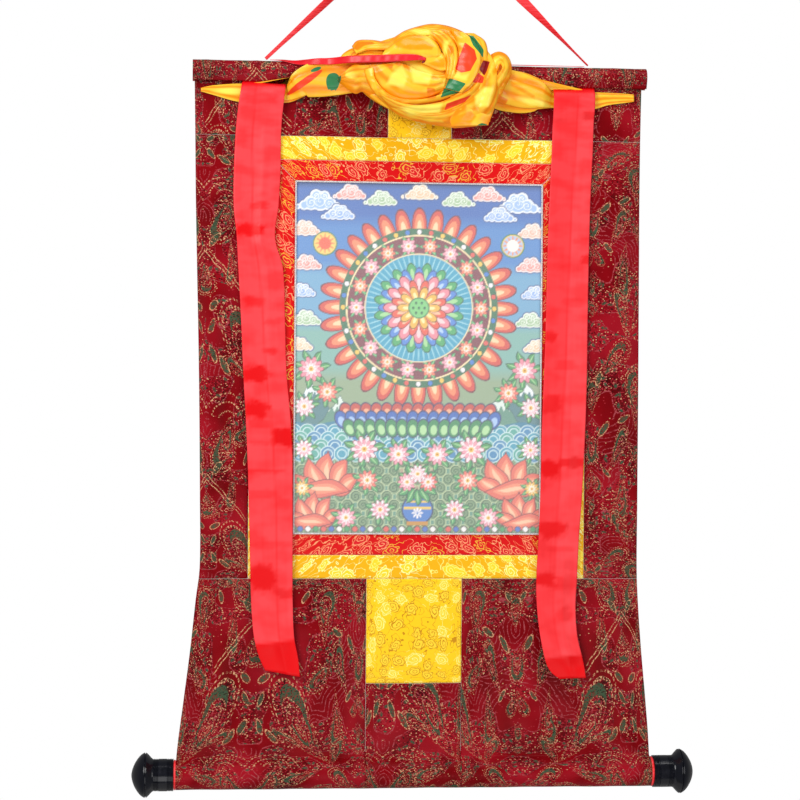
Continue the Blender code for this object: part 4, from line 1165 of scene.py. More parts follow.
# each fold of the knot: depth of its two edges, how far it bulges, its pleats and how deep they are,
# and its edges as rows of x, z and x, z
foldsOfKnot = {
    "crown rim": (-34, -49, 7, 6, 0.9, (
        (-87, -179, -83, -191), (-80, -172, -71, -187), (-63, -171, -56, -186), (-44, -173, -41, -185),
        (-34, -166, -27, -179), (-23, -159, -18, -173), (-9, -154, -6, -168), (8, -150, 9, -166),
        (25, -151, 22, -167), (40, -155, 32, -172), (52, -161, 39, -180), (62, -170, 44, -189),
        (71, -180, 48, -199), (77, -192, 51, -209))),
    "big fold": (-48, -52, 7, 1, 0, (
        (-48, -185, -53, -194), (-35, -175, -40, -196), (-23, -168, -25, -197), (-9, -165, -11, -198),
        (4, -167, 1, -197), (14, -174, 11, -195), (20, -184, 18, -193))),
    "fan folds": (-50, -53, 5, 3, 1.2, (
        (4, -164, 21, -160), (14, -173, 33, -170), (21, -184, 39, -183), (25, -196, 40, -196),
        (25, -208, 38, -210), (24, -218, 34, -220))),
    "brow folds": (-38, -47, 4, 3, 1.3, (
        (-88, -189, -89, -199), (-77, -181, -76, -197), (-63, -179, -61, -196), (-48, -181, -47, -197),
        (-34, -187, -32, -197), (-19, -191, -17, -198))),
    "printed band": (-49, -54, 6, 1, 0, (
        (31, -159, 50, -164), (37, -174, 63, -177), (39, -188, 68, -191), (37, -203, 66, -208),
        (31, -217, 57, -225), (24, -230, 45, -236))),
    "outer band": (-50, -44, 4, 2, 0.6, (
        (48, -163, 61, -162), (60, -173, 74, -171), (66, -188, 78, -187), (65, -205, 77, -206),
        (57, -222, 68, -226), (43, -234, 56, -239), (31, -241, 42, -247))),
    "right loop": (-33, -44, 6, 2, 0.8, (
        (76, -214, 88, -209), (77, -197, 91, -204), (81, -187, 92, -200), (92, -181.5, 93, -199),
        (103, -186, 94, -200), (108.5, -198, 95, -203), (107, -212, 92, -209), (100, -226, 85, -218),
        (94, -237, 78, -228))),
    "loop inside": (-36, -40, 3, 2, 0.5, (
        (78, -226, 97, -226), (80, -212, 101, -212), (84, -198, 101, -198), (88, -190, 98, -190))),
    "loose corner": (-47, -36, 3, 2, 0.5, (
        (75, -211, 96, -221), (70, -224, 98, -229), (63, -233, 93, -239), (51, -245, 88, -250),
        (39, -256, 84, -261), (32, -267, 81, -268), (34, -276, 80, -272))),
    "bowl": (-47, -50, 6, 3, 1.6, (
        (-66, -205, -32, -200), (-61, -219, -25, -202), (-51, -232, -16, -205), (-36, -242, -7, -209),
        (-17, -245, 4, -212), (5, -242, 16, -214), (24, -233, 27, -213))),
    "bowl rim": (-45, -51, 3.5, 1, 0, (
        (-73, -209, -62, -207), (-70, -221, -60, -219), (-62, -235, -53, -230), (-48, -245, -42, -239),
        (-29, -251, -26, -244), (-5, -250, -4, -244), (20, -245, 16, -239), (41, -237, 36, -231),
        (57, -227, 50, -221))),
    "middle sash": (-42, -51, 4, 2, 0.9, (
        (-53, -241, -56, -237), (-43, -251, -44, -243), (-26, -258, -27, -249), (-4, -263, -5, -251),
        (20, -262, 19, -247), (42, -254, 38, -239), (61, -241, 55, -231), (74, -226, 65, -220))),
    "lower sash": (-34, -47, 4, 3, 0.8, (
        (-57, -240, -61, -234), (-41, -254, -46, -244), (-25, -264, -29, -253), (-3, -270, -5, -261),
        (21, -274, 19, -260), (39, -276, 41, -252), (60, -274, 58, -242), (79, -271, 70, -233))),
    "left folds": (-31, -44, 6, 4, 1.6, (
        (-104, -222, -104, -219), (-84, -236, -87, -204), (-74, -234, -75, -203), (-64, -239, -61, -202),
        (-52, -246, -46, -200), (-42, -250, -32, -199))),
    "eye lobe": (-49, -53, 5, 1, 0, (
        (-3, -194, -5, -201), (4, -187, 3, -204), (13, -185, 11, -208), (21, -187, 20, -210),
        (26, -195, 26, -209))),
}
# printed patches, and lemon patches of painted highlight: colour, middle, half length and half width in mm,
# turn in degrees and how it tapers
printAndHighlightRows = (
    ("red", -143, -221.3, 25, 4.2, 34, 0), ("green", -109.3, -222, 12, 8.5, 85, 0.2),
    ("green", -130, -206.6, 7, 2.4, 20, 0), ("dark", -1.9, -199.6, 2.8, 1.6, 30, 0),
    ("paintedHighlightLemon", -96, -220, 18, 8, 20, 0), ("paintedHighlightLemon", 139, -240, 28, 6, -10, 0),
    ("paintedHighlightLemon", -230, -232, 30, 5, 0, 0),
)
# flat facets of the knot, each in one print or in painted light or shade (lemon is painted highlight, orange
# and amber are painted shade): each one's corners as x and z in mm
facets = {
    "paintedShadeOrange": (
        ((-40, -171), (-19, -165), (0, -172), (12, -180), (9, -186), (-18, -187), (-36, -184)),
        ((-54, -231), (-3, -238), (6, -244), (-30, -249), (-45, -244)),
        ((-64, -214), (-57, -207), (-58, -226), (-45, -235), (-57, -235)),
        ((0, -201), (24, -193), (26, -207), (12, -207)),
        ((51, -228), (68, -226), (57, -235), (42, -238)),
        ((21, -267), (42, -261), (57, -255), (66, -262), (57, -273), (27, -276)),
        ((11, -155), (27, -153), (44, -160), (44, -169), (27, -168)),
        ((107, -214), (140, -232), (140, -238), (107, -223)),
        ((-108, -205), (-94, -205), (-94, -217), (-82, -220), (-84, -232), (-99, -234), (-108, -217)),
        ((81, -207), (94, -195), (97, -202), (83, -216)),
    ),
    "paintedShadeAmber": (
        ((-87, -184), (-81, -174), (-63, -174), (-58, -178), (-72, -181), (-81, -187)),
        ((2, -229), (13, -231), (15, -243), (3, -245)),
        ((26, -177), (35, -180), (36, -186), (31, -192)),
        ((90, -232), (107, -238), (102, -247), (89, -250)),
        ((-49, -202), (-37, -202), (-40, -211)),
    ),
    "dark": (
        ((66, -207), (71, -195), (80, -196), (76, -208), (73, -214)),
    ),
    "red": (
        ((57, -223), (65, -210), (73, -216), (71, -223)),
        ((36, -207), (48, -175), (60, -184), (63, -195), (55, -210), (44, -212)),
        ((24, -257), (27, -249), (58, -237), (50, -246)),
    ),
    "green": (
        ((52, -165), (59, -166), (72, -183), (71, -193), (58, -179)),
        ((19, -242), (30, -218), (50, -225), (42, -235)),
        ((65, -273), (71, -270), (78, -271), (78, -276), (68, -276)),
    ),
    "paintedHighlightLemon": (
        ((-42, -214), (-27, -201), (-19, -217), (-24, -232), (-48, -228)),
        ((-22, -199), (-3, -202), (12, -211), (6, -228), (-15, -226)),
        ((-24, -160), (-12, -156), (6, -159), (12, -171), (-3, -169)),
        ((-33, -253), (20, -247), (24, -246), (21, -262), (-18, -264)),
        ((60, -238), (72, -226), (87, -226), (80, -252), (62, -253)),
        ((32, -208), (44, -213), (56, -211), (51, -223), (32, -219)),
        ((72, -223), (80, -202), (85, -192), (93, -190), (85, -202), (78, -217)),
        ((-70, -205), (-63, -204), (-64, -232), (-48, -246), (-58, -240)),
        ((21, -172), (32, -172), (24, -199), (20, -187)),
    ),
}


def printOrPaintedLightAt(spot, colour):
    # above 0 inside a printed patch, or a patch of painted highlight or painted shade, of that colour
    nearest = -1.0
    for title, x, z, long, wide, turn, taper in printAndHighlightRows:
        if title == colour and abs(spot.x - x) < 30 and abs(spot.z - z) < 30:
            angle = math.radians(turn)
            along = ((spot.x - x) * math.cos(angle) + (spot.z - z) * math.sin(angle)) / long
            across = ((spot.z - z) * math.cos(angle) - (spot.x - x) * math.sin(angle)) / wide
            nearest = max(nearest, 1 - math.hypot(along, across / max(0.15, 1 + taper * along)))
    here = Vector((spot.x, spot.z))
    for corners in facets.get(colour, ()):
        if (here - Vector(corners[0])).length < 70:
            # the distance to the facet's nearest side, counted as inside by crossing sides to the right
            inside, gap = False, 99.0
            for start, end in zip(corners, corners[1:] + corners[:1]):
                foot, share = geometry.intersect_point_line(here, start, end)
                foot = Vector(start).lerp(Vector(end), min(max(share, 0), 1))
                gap = min(gap, (here - foot).length)
                if (start[1] > here.y) != (end[1] > here.y):
                    cross = start[0] + (here.y - start[1]) * (end[0] - start[0]) / (end[1] - start[1])
                    inside = inside != (cross > here.x)
            nearest = max(nearest, gap / 6 if inside else -gap / 6)
    return nearest


def creased(x, z, order):
    # uneven satin: soft swells between sharp, slanting creases
    swell = noise.noise(Vector((x * 0.09, z * 0.13, order * 3.0)))
    slanted = noise.noise(Vector((x * 0.05 + z * 0.05, z * 0.035 - x * 0.02, order * 5.0 + 2.0)))
    return 0.6 * swell + 1.3 * (0.30 - abs(slanted)) if abs(slanted) < 0.30 else 0.6 * swell


def addTube(whole, around, down, wide, length, order, spotOf):
    # one closed tube of cloth; spotOf(share round it, step along it) says its place, its painted light and
    # whether it faces out
    flat, light = whole.loops.layers.uv["cloth"], whole.verts.layers.float["lit"]
    made = bmesh.ops.create_grid(whole, x_segments=around, y_segments=down, size=0.5)["verts"]
    for face in {face for vert in made for face in vert.link_faces}:
        for corner in face.loops:
            share = corner.vert.co
            corner[flat].uv = ((share.x + 0.5) * wide * mm, (share.y + 0.5) * length * mm + 0.3 * order)
    for vert in made:
        spot, lit, front = spotOf(vert.co.x + 0.5, round((0.5 - vert.co.y) * down))
        vert[light] = lit
        # print, painted highlight and painted shade patches, on the tube's front only
        for colour in printAndPaintedLightColours:
            vert[whole.verts.layers.float[colour]] = printOrPaintedLightAt(spot, colour) if front else -1.0
        vert.co = (spot + Vector((scroll["middle"] / mm, 0, 0))) * mm
    bmesh.ops.remove_doubles(whole, verts=made, dist=0.01 * mm)


def addRoll(whole, order, pleats, depth, wind, rows):
    keyed = [(index,) + row for index, row in enumerate(rows)]
    length = pathLength([row[:3] for row in rows])
    down = max(6, round(length / veil["step"]))
    stations = [readTable(keyed, rollColumns, step / down * (len(rows) - 1)) for step in range(down + 1)]
    middles = [Vector((at["x"], at["y"], at["z"])) for at in stations]

    def spotOf(u, step):
        at = stations[step]
        direction = (middles[min(step + 1, down)] - middles[max(step - 1, 0)]).normalized()
        across = Vector((-direction.z, 0, direction.x)).normalized()
        deep = across.cross(direction).normalized()
        turn = Matrix.Rotation(math.radians(at["turn"]), 3, direction)
        angle = -2 * math.pi * u
        ridge = abs(math.cos(pleats * angle / 2 + wind * step * veil["step"] / 12 + order))
        size = ridge - 0.64 + 0.25 * math.sin(2.3 * angle + step * 0.11 + order * 2)
        size = 1 + depth * size * ease(step / 4) * ease((down - step) / 4)
        spot = middles[step] + (turn @ across) * math.cos(angle) * at["half"] * size
        spot += (turn @ deep) * math.sin(angle) * at["thick"] * size
        crumple = creased(spot.x * 0.6, spot.z * 1.2, order)
        spot += (turn @ deep) * crumple * veil["crumple"] * min(1.0, at["thick"] / 5)
        # painted light on the pleats' ridges, painted shade in their valleys
        return spot, ease(ridge * 1.4 - 0.45 + crumple * 0.6), spot.y < at["y"]

    addTube(whole, veil["round"], down, 4.4 * max(row[3] for row in rows), length, order, spotOf)


def addFold(whole, order, outer, inner, bulge, pleats, depth, rows):
    keyed = [(index,) + row for index, row in enumerate(rows)]
    length = pathLength([((row[0] + row[2]) / 2, (row[1] + row[3]) / 2) for row in rows])
    wide = max(math.dist(row[:2], row[2:]) for row in rows)
    down = max(8, round(length / veil["foldStep"]))
    stations = [readTable(keyed, foldEdges, step / down * (len(rows) - 1)) for step in range(down + 1)]

    def spotOf(u, step):
        at = stations[step]
        angle = 2 * math.pi * u
        share = (1 - math.cos(angle)) / 2
        front = math.sin(angle)
        end = ease(step / (0.12 * down)) * ease((down - step) / (0.12 * down))
        y = between(outer, inner, share) + (2.5 if front < 0 else 0.45 * bulge) * -front
        ridge = 1.0
        if front > 0:
            # a fold's hollow side and its pleats, which wander a little along it
            wander = 0.5 * math.sin(step / down * 5 + order) + order
            ridge = abs(math.cos(pleats * math.pi * share + wander)) if depth else 1.0
            y -= end * (0.45 * bulge * front + front * depth * (ridge - 0.5))
        x, z = between(at["x1"], at["x2"], share), between(at["z1"], at["z2"], share)
        crumple = creased(x, z, order)
        y += crumple * veil["crumple"] * 1.4 * max(front, 0) * end
        # painted light where the fold faces forward and on its pleats' ridges, painted shade in the valleys
        # and towards its inner edge; its back lies in painted shade
        light = ease(1.25 * front - 0.9 * (1 - ridge) + crumple * 0.9 - 0.55 * (1 - share))
        return Vector((x, y, z)), light if front > 0 else 0.0, front > 0.1

    addTube(whole, veil["foldRound"], down, wide, length, order, spotOf)


def makeVeil():
    whole = bmesh.new()
    whole.loops.layers.uv.new("cloth")
    for title in ("lit", *printAndPaintedLightColours):
        whole.verts.layers.float.new(title)
    for order, roll in enumerate(veilRolls.values()):
        addRoll(whole, order, *roll)
    for order, fold in enumerate(foldsOfKnot.values()):
        addFold(whole, order, *fold)
    bmesh.ops.holes_fill(whole, edges=[edge for edge in whole.edges if edge.is_boundary], sides=0)
    bmesh.ops.recalc_face_normals(whole, faces=whole.faces)
    mesh = meshOf("veil", whole)
    piece = toObject("veil", mesh, finishes["veil"], "veil")


# the roller's knobs, cuffs and the twisted cord

knobs = {
    "grooves": (1.6, 3.4, 5.2, 7, 18.6, 20.4, 22.2, 24),     # along the neck, mm
    "grooveDeep": 0.8, "grooveHalf": 0.6,
    "neck": 19.6,
    "head": ((25.2, 19.7), (27, 21.2), (30, 24.6), (32.6, 27), (33.3, 26.9), (33.7, 25.9), (34.2, 25.9),
             (34.7, 27.2), (35.4, 27.1), (37.5, 25.9), (39.6, 24.4), (41.5, 22.4), (43.6, 19.8), (45.5, 16.8),
             (47.2, 13.9), (48.6, 10.6), (49.7, 7.4), (50.4, 4.6), (50.9, 1.8), (51, 0)),
    "steps": 72,
}


def spinPiece(name, profile, finish, outward, closed=False):
    # a turned piece on the roller's axis; the profile has rows of (distance out from the knob's face, radius)
    shape = bmesh.new()
    points = [shape.verts.new((outward * (rollerSizes["knobFace"] + along * mm) + scroll["middle"],
                               rollerAxis[0], rollerAxis[1] + radius * mm)) for along, radius in profile]
    edges = [shape.edges.new(pair) for pair in zip(points, points[1:])]
    if closed:
        edges.append(shape.edges.new((points[-1], points[0])))
    bmesh.ops.spin(shape, geom=points + edges, cent=(0, *rollerAxis), axis=(1, 0, 0), angle=2 * math.pi,
                   steps=knobs["steps"], use_merge=True)
    bmesh.ops.remove_doubles(shape, verts=shape.verts, dist=0.01 * mm)
    bmesh.ops.recalc_face_normals(shape, faces=shape.faces)
    mesh = meshOf(name, shape)
    piece = toObject(name, mesh, finish, name)
    mesh.set_sharp_from_angle(angle=math.radians(50))
    return piece


def makeKnobs():
    profile = [(0, 0), (0, 19.0), (0.5, knobs["neck"])]
    for groove in knobs["grooves"]:
        for away, deep in ((-1, 0), (-0.3, 0.8), (0.3, 0.8), (1, 0)):
            profile.append((groove + away * knobs["grooveHalf"], knobs["neck"] - deep * knobs["grooveDeep"]))
    profile += knobs["head"]
    inside = (rollerSizes["radius"] + scroll["wrapGap"]) / mm
    wall = rollerSizes["cuffWall"] / mm
    for name, outward, hem in (("left", -1, -leftSide(scroll["hemLow"])),
                               ("right", 1, rightSide(scroll["hemLow"]))):
        spinPiece("knob_" + name, profile, finishes["lacquer"], outward)
        near, far = (hem + scroll["gap"] - rollerSizes["knobFace"]) / mm, -scroll["gap"] / mm
        middle = (near + far) / 2
        cuff = [(far, inside), (far, inside + wall * 0.7), (middle, inside + wall),
                (near, inside + wall * 0.8),
                (near, inside)]
        spinPiece("cuff_" + name, cuff, finishes["cuff"], outward, closed=True)


edging = {
    "thick": 2.4 * mm,              # of the whole cord
    "strand": 0.62 * mm,            # radius of each of its two strands
    "pitch": 4.6 * mm,
    "perTurn": 8,
}


def meshFromCurve(name, data, finish, *replaced):
    # turns a curve into a finished mesh piece
    holder = inScene(name + "Line", data)
    bpy.context.view_layer.update()
    mesh = bpy.data.meshes.new_from_object(holder.evaluated_get(bpy.context.evaluated_depsgraph_get()))
    bpy.data.objects.remove(holder)
    mesh.materials.clear()
    mesh.name = name
    return toObject(name, mesh, finish, *replaced)


def makeEdging():
    half = scroll["frameHalf"] - pictureInset
    top, bottom = scroll["frameTop"] - pictureInset, scroll["frameBottom"] + pictureInset
    corners = [(-half, top), (half, top), (half, bottom), (-half, bottom)]
    out = scroll["cloth"] / 2 + scroll["gap"] + edging["thick"] / 2
    swing = edging["thick"] / 2 - edging["strand"]
    data = newCurve("edging", edging["strand"], 1)
    for strand in (0, math.pi):
        points, turn = [], strand
        for (startX, startZ), (endX, endZ) in zip(corners, corners[1:] + corners[:1]):
            steps = round(math.dist((startX, startZ), (endX, endZ)) / edging["pitch"]) * edging["perTurn"]
            side = Vector((startZ - endZ, 0, endX - startX)).normalized()
            for step in range(steps):
                x, z = between(startX, endX, step / steps), between(startZ, endZ, step / steps)
                turn += 2 * math.pi / edging["perTurn"]
                middle = onCloth(x, drape(x, z) - out, z)
                spot = middle + side * swing * math.cos(turn) + Vector((0, swing * math.sin(turn), 0))
                points.append((spot, 1.0, 0))
        addLine(data, points).use_cyclic_u = True
    return meshFromCurve("edging_cord", data, finishes["silver"], "edging_cord")


stitches = {"length": 2.9 * mm, "pitch": 3.8 * mm, "thick": 0.32 * mm}


def makeStitches(name, start, end, spotOf):
    # a row of sewn stitches from start to end; spotOf(x) is the place on the cloth's front
    data = newCurve(name, stitches["thick"], 1, use_fill_caps=True)
    for number in range(int((end - start) / stitches["pitch"])):
        x = start + (number + 0.3) * stitches["pitch"]
        rows = []
        for index in range(5):
            # both ends of a stitch are thinner and dive into the cloth
            spot = spotOf(x + stitches["length"] * index / 4)
            rise, radius = (stitches["thick"] * 0.9, 0.6) if index in (0, 4) else (0.0, 1.0)
            rows.append((onCloth(spot.x, spot.y + rise, spot.z), radius, 0))
        addLine(data, rows)
    return meshFromCurve(name, data, finishes["thread"])


def hemSpot(x):
    return Vector((x, drape(x, scroll["hemStitch"]) - 0.35 * mm, scroll["hemStitch"] - 0.6 * mm))


def headingSpot(x):
    front = -(scroll["cloth"] + scroll["gap"] * 3 + rodSizes["tailLayer"] + 1.2 * mm)
    return Vector((x, front - 1.0 * mm, scroll["headingSeam"] + 2.2 * mm))


# the picture: a wheel of lotus petals between clouds, peonies and water, in the colours of such scrolls

picture = {
    "step": 1.2 * mm,
    "thickness": 1.0 * mm,
    "soft": 0.7,                    # mm, how soft the edge of a painted shape is
    "cotton": "#CBC2AF",            # the bare cloth behind
}


def turned(x, z, turn):
    c, s = math.cos(math.radians(turn)), math.sin(math.radians(turn))
    return x * c + z * s, z * c - x * s


class Paint:
    # colours of all points of the picture; x and z are millimetres from its middle
    # a shape is the distance in from its edge, in mm
    def __init__(self, x, z):
        self.x, self.z = x, z
        self.colour = np.zeros((len(x), 4))
        self.colour[:, 3] = 1.0

    def lay(self, inside, hexCode, strength=1.0):
        cover = np.clip(inside / picture["soft"] + 0.5, 0, 1)[:, None] * strength
        self.colour = self.colour * (1 - cover) + np.array(linearColour(hexCode)) * cover

    def disc(self, x, z, radius):
        return radius - np.hypot(self.x - x, self.z - z)

    def ring(self, x, z, radius, half):
        return half - np.abs(np.hypot(self.x - x, self.z - z) - radius)

    def oval(self, x, z, wide, high, turn=0.0):
        across, up = turned(self.x - x, self.z - z, turn)
        return (1 - np.hypot(across / wide, up / high)) * min(wide, high)

    def petals(self, x, z, inner, outer, count, turn=0.0, width=0.8):
        away = np.hypot(self.x - x, self.z - z)
        angle = np.arctan2(self.z - z, self.x - x) - math.radians(turn)
        share = np.clip((away - inner) / (outer - inner), 0, 1)
        half = width * math.pi / count * np.sqrt(np.clip(1 - share ** 2.2, 0, 1)) * away
        aside = np.abs((angle * count / (2 * math.pi) + 0.5) % 1 - 0.5) * 2 * math.pi / count * away
        return np.minimum(np.minimum(half - aside, away - inner), outer - away)

    def cloud(self, x, z, size, flip=1):
        return np.max([self.disc(x + flip * dx * size, z + dz * size, radius * size)
                       for dx, dz, radius in cloudLobes], axis=0)

    def spiral(self, x, z, radius, gap, half, flip=1):
        away = np.hypot(self.x - x, self.z - z)
        turn = np.arctan2(self.z - z, flip * (self.x - x)) / (2 * math.pi)
        line = half - np.abs((away / gap - turn) % 1 - 0.5) * gap
        return np.minimum(line, radius - away)

    def drop(self, x, z, long, wide, turn):
        # pointed at both ends, bent a little
        along, across = turned(self.x - x, self.z - z, turn)
        share = np.clip(1 - (along / long) ** 2, 0, 1)
        bent = np.abs(across - 0.25 * wide * np.sin(np.clip(along / long, -1, 1) * 3))
        return np.minimum(wide * share - bent, (long - np.abs(along)) * 0.5)

    def layDiscs(self, x, z, *layers):
        for radius, colour in layers:
            self.lay(self.disc(x, z, radius), colour)

    def layPetals(self, x, z, *layers):
        for inner, outer, count, turn, width, colour in layers:
            self.lay(self.petals(x, z, inner, outer, count, turn, width), colour)

    def layDrops(self, x, z, long, wide, turn, *layers):
        for longShare, wideShare, grown, colour in layers:
            self.lay(self.drop(x, z, long * longShare, wide * wideShare, turn) + grown, colour)


cloudLobes = ((0, 0, 1), (0.95, -0.2, 0.75), (-0.9, -0.25, 0.7), (0.45, 0.55, 0.62), (-0.4, 0.5, 0.55),
              (1.65, -0.45, 0.5), (-1.6, -0.5, 0.42), (2.3, -0.6, 0.28))


def drawCloud(paint, x, z, size, fill, rim, line, flip=1):
    shape = paint.cloud(x, z, size, flip)
    for grown, colour in ((1.2, line), (0, rim), (-0.16 * size, fill)):
        paint.lay(shape + grown, colour)
    for dx, dz, radius in cloudLobes[:5]:
        curl = paint.spiral(x + flip * dx * size, z + dz * size, radius * size * 0.8, radius * size * 0.42,
                            0.5, flip)
        paint.lay(np.minimum(curl, shape - 1), rim)


def drawFlower(paint, x, z, size, outer, inner, heart="#F5C33C", petals=9):
    for start, end, turn, width, colour in (
            (0.1, 1.07, 0, 0.98, "#9C2F4A"), (0.1, 1, 0, 0.9, outer), (0.05, 0.8, 20, 0.96, "#C4506A"),
            (0.05, 0.74, 20, 0.86, inner), (0.05, 0.45, 0, 0.9, "#FFF4F0")):
        paint.layPetals(x, z, (size * start, size * end, petals, turn, width, colour))
    paint.layDiscs(x, z, (size * 0.2, heart), (size * 0.08, "#B8541E"))


def drawLeaves(paint, x, z, size, turns, colour="#3E9A55"):
    for turn in turns:
        reach = size * 1.2
        leafX, leafZ = x + math.cos(math.radians(turn)) * reach, z + math.sin(math.radians(turn)) * reach
        paint.layDrops(leafX, leafZ, size, size, turn, (0.8, 0.36, 0, "#1C5638"), (0.68, 0.27, 0, colour),
                       (0.6, 0.06, 0, "#A6D892"))


def drawFlame(paint, x, z, size, flip):
    # a coral cloud of curling tongues
    for dx, dz, long, wide, turn in (
            (0, 0, 1, 0.5, 95), (0.55, -0.2, 0.95, 0.42, 70), (-0.55, -0.15, 0.95, 0.42, 118),
            (1, -0.55, 0.8, 0.36, 40), (-0.95, -0.55, 0.8, 0.36, 145), (0.2, -0.75, 1.3, 0.42, 5)):
        paint.layDrops(x + flip * dx * size, z + dz * size, long * size, wide * size,
                       turn if flip > 0 else 180 - turn, (1, 1, 1.2, "#8E2A2C"), (1, 1, 0, "#E8644E"),
                       (0.75, 0.6, 0, "#F58C68"), (0.55, 0.25, 0, "#FFC79E"))


def roundAbout(x, z, radius, count):
    # places round a circle, each with its number and its angle
    for number in range(count):
        angle = 2 * math.pi * number / count
        yield number, angle, (x + radius * math.cos(angle), z + radius * math.sin(angle))


def drawGround(paint, x, z):
    # sky, haze, and the tan ground of the lower third
    for level, colour in ((216, "#2C62B4"), (168, "#4583C8"), (110, "#6CA6CC"), (40, "#7FB3A8"),
                          (-20, "#93A884"),
                          (-70, "#A89A7C"), (-118, "#B29A80")):
        paint.lay((level - z) / 26, colour)
    # hills with snow, and green hills in front of them
    for hillX, top, slope, colour, snow in (
            (-132, -30, 1.5, "#4E7F86", "#F0F6F6"), (-96, -48, 1.3, "#5E937E", "#E4EFE6"),
            (134, -28, 1.5, "#4E7F86", "#F0F6F6"), (100, -46, 1.3, "#5E937E", "#E4EFE6")):
        hill = (top - np.abs(x - hillX) * slope - z + 1.5 * np.sin(x * 0.5)) / 1.6
        paint.lay(hill + 0.8, "#2F5B58")
        paint.lay(hill, colour)
        paint.lay(np.minimum(hill, (z - top + 15 + 3 * np.sin(x * 0.9)) / 1.6), snow)
    # scrolls of grass on the ground
    for row in range(9):
        for column in range(-8, 9):
            spot = column * 19 + (9 if row % 2 else 0), -128 - row * 10.5
            paint.lay(paint.disc(*spot, 7.2), "#7F9A6E", 0.9)
            paint.lay(paint.spiral(*spot, 7, 3.6, 0.55, 1 if column % 2 else -1), "#31583C")
            paint.lay(paint.ring(*spot, 7.4, 0.5), "#C9D6A4", 0.8)


def drawSky(paint):
    # clouds, pairs that mirror each other
    for cloudX, cloudZ, size, fill, rim in (
            (122, 192, 12, "#9FC0EE", "#F4F8FF"), (84, 203, 9, "#F0988E", "#FFF1EE"),
            (46, 196, 9, "#A8C79A", "#F2F8EC"), (0, 204, 9, "#F5C9A0", "#FFF8EA"),
            (98, 178, 9, "#8FB2EA", "#F2F6FF"), (140, 158, 9, "#F5B9A2", "#FFF3EA"),
            (138, 116, 9, "#F0988E", "#FFF1EE"), (143, 82, 8, "#8FB2EA", "#F2F6FF"),
            (138, 48, 9, "#A8C79A", "#F2F8EC"), (146, 16, 8, "#F5C9A0", "#FFF8EA")):
        for side in (-1, 1):
            drawCloud(paint, side * cloudX, cloudZ, size, fill, rim, "#2F4E8E", side)
    # sun and moon in rings
    for side, face, edge in ((-1, "#EE5A34", "#FFD36A"), (1, "#F6F4EA", "#B7C8E8")):
        spot = side * 116, 140
        paint.layDiscs(*spot, (15, "#2C7A4E"), (13.6, "#F0C85A"), (12.4, edge))
        paint.layPetals(*spot, (3, 12, 12, 0, 0.6, "#F08A4A"))
        paint.layDiscs(*spot, (7.5, face))


def drawWheel(paint, wheel):
    # rings of petals round a lotus
    paint.layPetals(*wheel, (90, 124, 32, 0, 1.0, "#6E1E30"), (90, 122, 32, 0, 0.9, "#D8402E"),
                    (90, 116, 32, 0, 0.64, "#F58A5A"), (90, 108, 32, 0, 0.36, "#FFD9A8"))
    paint.layDiscs(*wheel, (98, "#2C6E48"))
    for number, angle, spot in roundAbout(*wheel, 93.5, 40):
        bead = ("#F2C84E", "#E4574B", "#F6F0F2", "#3F7FD0")[number % 4]
        paint.layDiscs(*spot, (3.6, "#173F2C"), (2.9, bead))
    paint.lay(paint.ring(*wheel, 89, 1.0), "#FFE3B0")
    paint.layDiscs(*wheel, (88, "#7E2A3C"))
    for number, angle, spot in roundAbout(*wheel, 77, 18):
        drawLeaves(paint, *spot, 7.0, range(0, 360, 60), "#4FAE6C")
        size, outer, inner = (9.5, "#F4A8B8", "#FBD0D6") if number % 2 else (9.0, "#F27A58", "#FFC59E")
        drawFlower(paint, *spot, size, outer, inner, petals=8)
    paint.layDiscs(*wheel, (67, "#FFE3B0"), (65.6, "#2C9FC0"))
    for number, angle, spot in roundAbout(*wheel, 57, 60):
        paint.lay(paint.oval(*spot, 9, 0.8, math.degrees(angle)), "#A9DFE8", 0.8)
    for inner, outer, count, turn, edge, fill, tip in (
            (20, 55, 16, 11.25, "#17603A", "#3FA860", "#A6DC96"),
            (16, 49, 16, 0, "#1F3F8A", "#4A86D8", "#B4D2F5"),
            (14, 43, 12, 0, "#8E1F38", "#EE8A9A", "#FBD5D6"),
            (10, 34, 12, 15, "#8E1F18", "#EA5238", "#FFC39A"),
            (8, 26, 10, 0, "#8A5A10", "#F2B83A", "#FFEFA8")):
        paint.layPetals(*wheel, (inner, outer + 1.4, count, turn, 1.0, edge),
                        (inner, outer, count, turn, 0.88, fill), (inner, outer - 6, count, turn, 0.5, tip))
    paint.layDiscs(*wheel, (13, "#2C7A4E"), (11.6, "#7CCB78"))
    for number, angle, spot in roundAbout(*wheel, 7, 6):
        paint.layDiscs(*spot, (1.6, "#1F5E3C"))
    paint.layDiscs(*wheel, (1.6, "#1F5E3C"))


def drawWater(paint, x, z):
    # a band of water with rows of round waves, and a seat of broad petals over it
    paint.lay(np.minimum(-80 - z + 2 * np.sin(x * 0.11), z + 122) / 1.2, "#2C7FA0")
    for row in range(4):
        for wave in range(-9, 10):
            waveX, level = wave * 17 + (8.5 if row % 2 else 0), -86 - row * 9
            shape = np.minimum(paint.disc(waveX, level - 5, 10), level + 6 - z)
            paint.lay(shape, "#D2EAEA")
            paint.lay(shape - 1.2, ("#3D9DB8", "#4FA89A", "#3A86B8")[(row + wave) % 3])
            paint.lay(np.minimum(paint.ring(waveX, level - 5, 5.4, 0.7), shape - 2), "#CFE8EA")
    for level, wide, count, colour, tip in (
            (-66, 88, 15, "#C8402E", "#FFB088"), (-76, 94, 16, "#2F62B8", "#A9C8F0"),
            (-86, 84, 14, "#2F8A50", "#B4E0A0")):
        for number in range(count):
            petalX = between(-wide, wide, number / (count - 1))
            for grow, shade, low in ((1.16, "#262B5A", 0), (1.0, colour, 0), (0.58, tip, 2)):
                petal = paint.oval(petalX, level - low, 7.2 * grow, 10.6 * grow, -petalX / wide * 26)
                paint.lay(petal, shade)


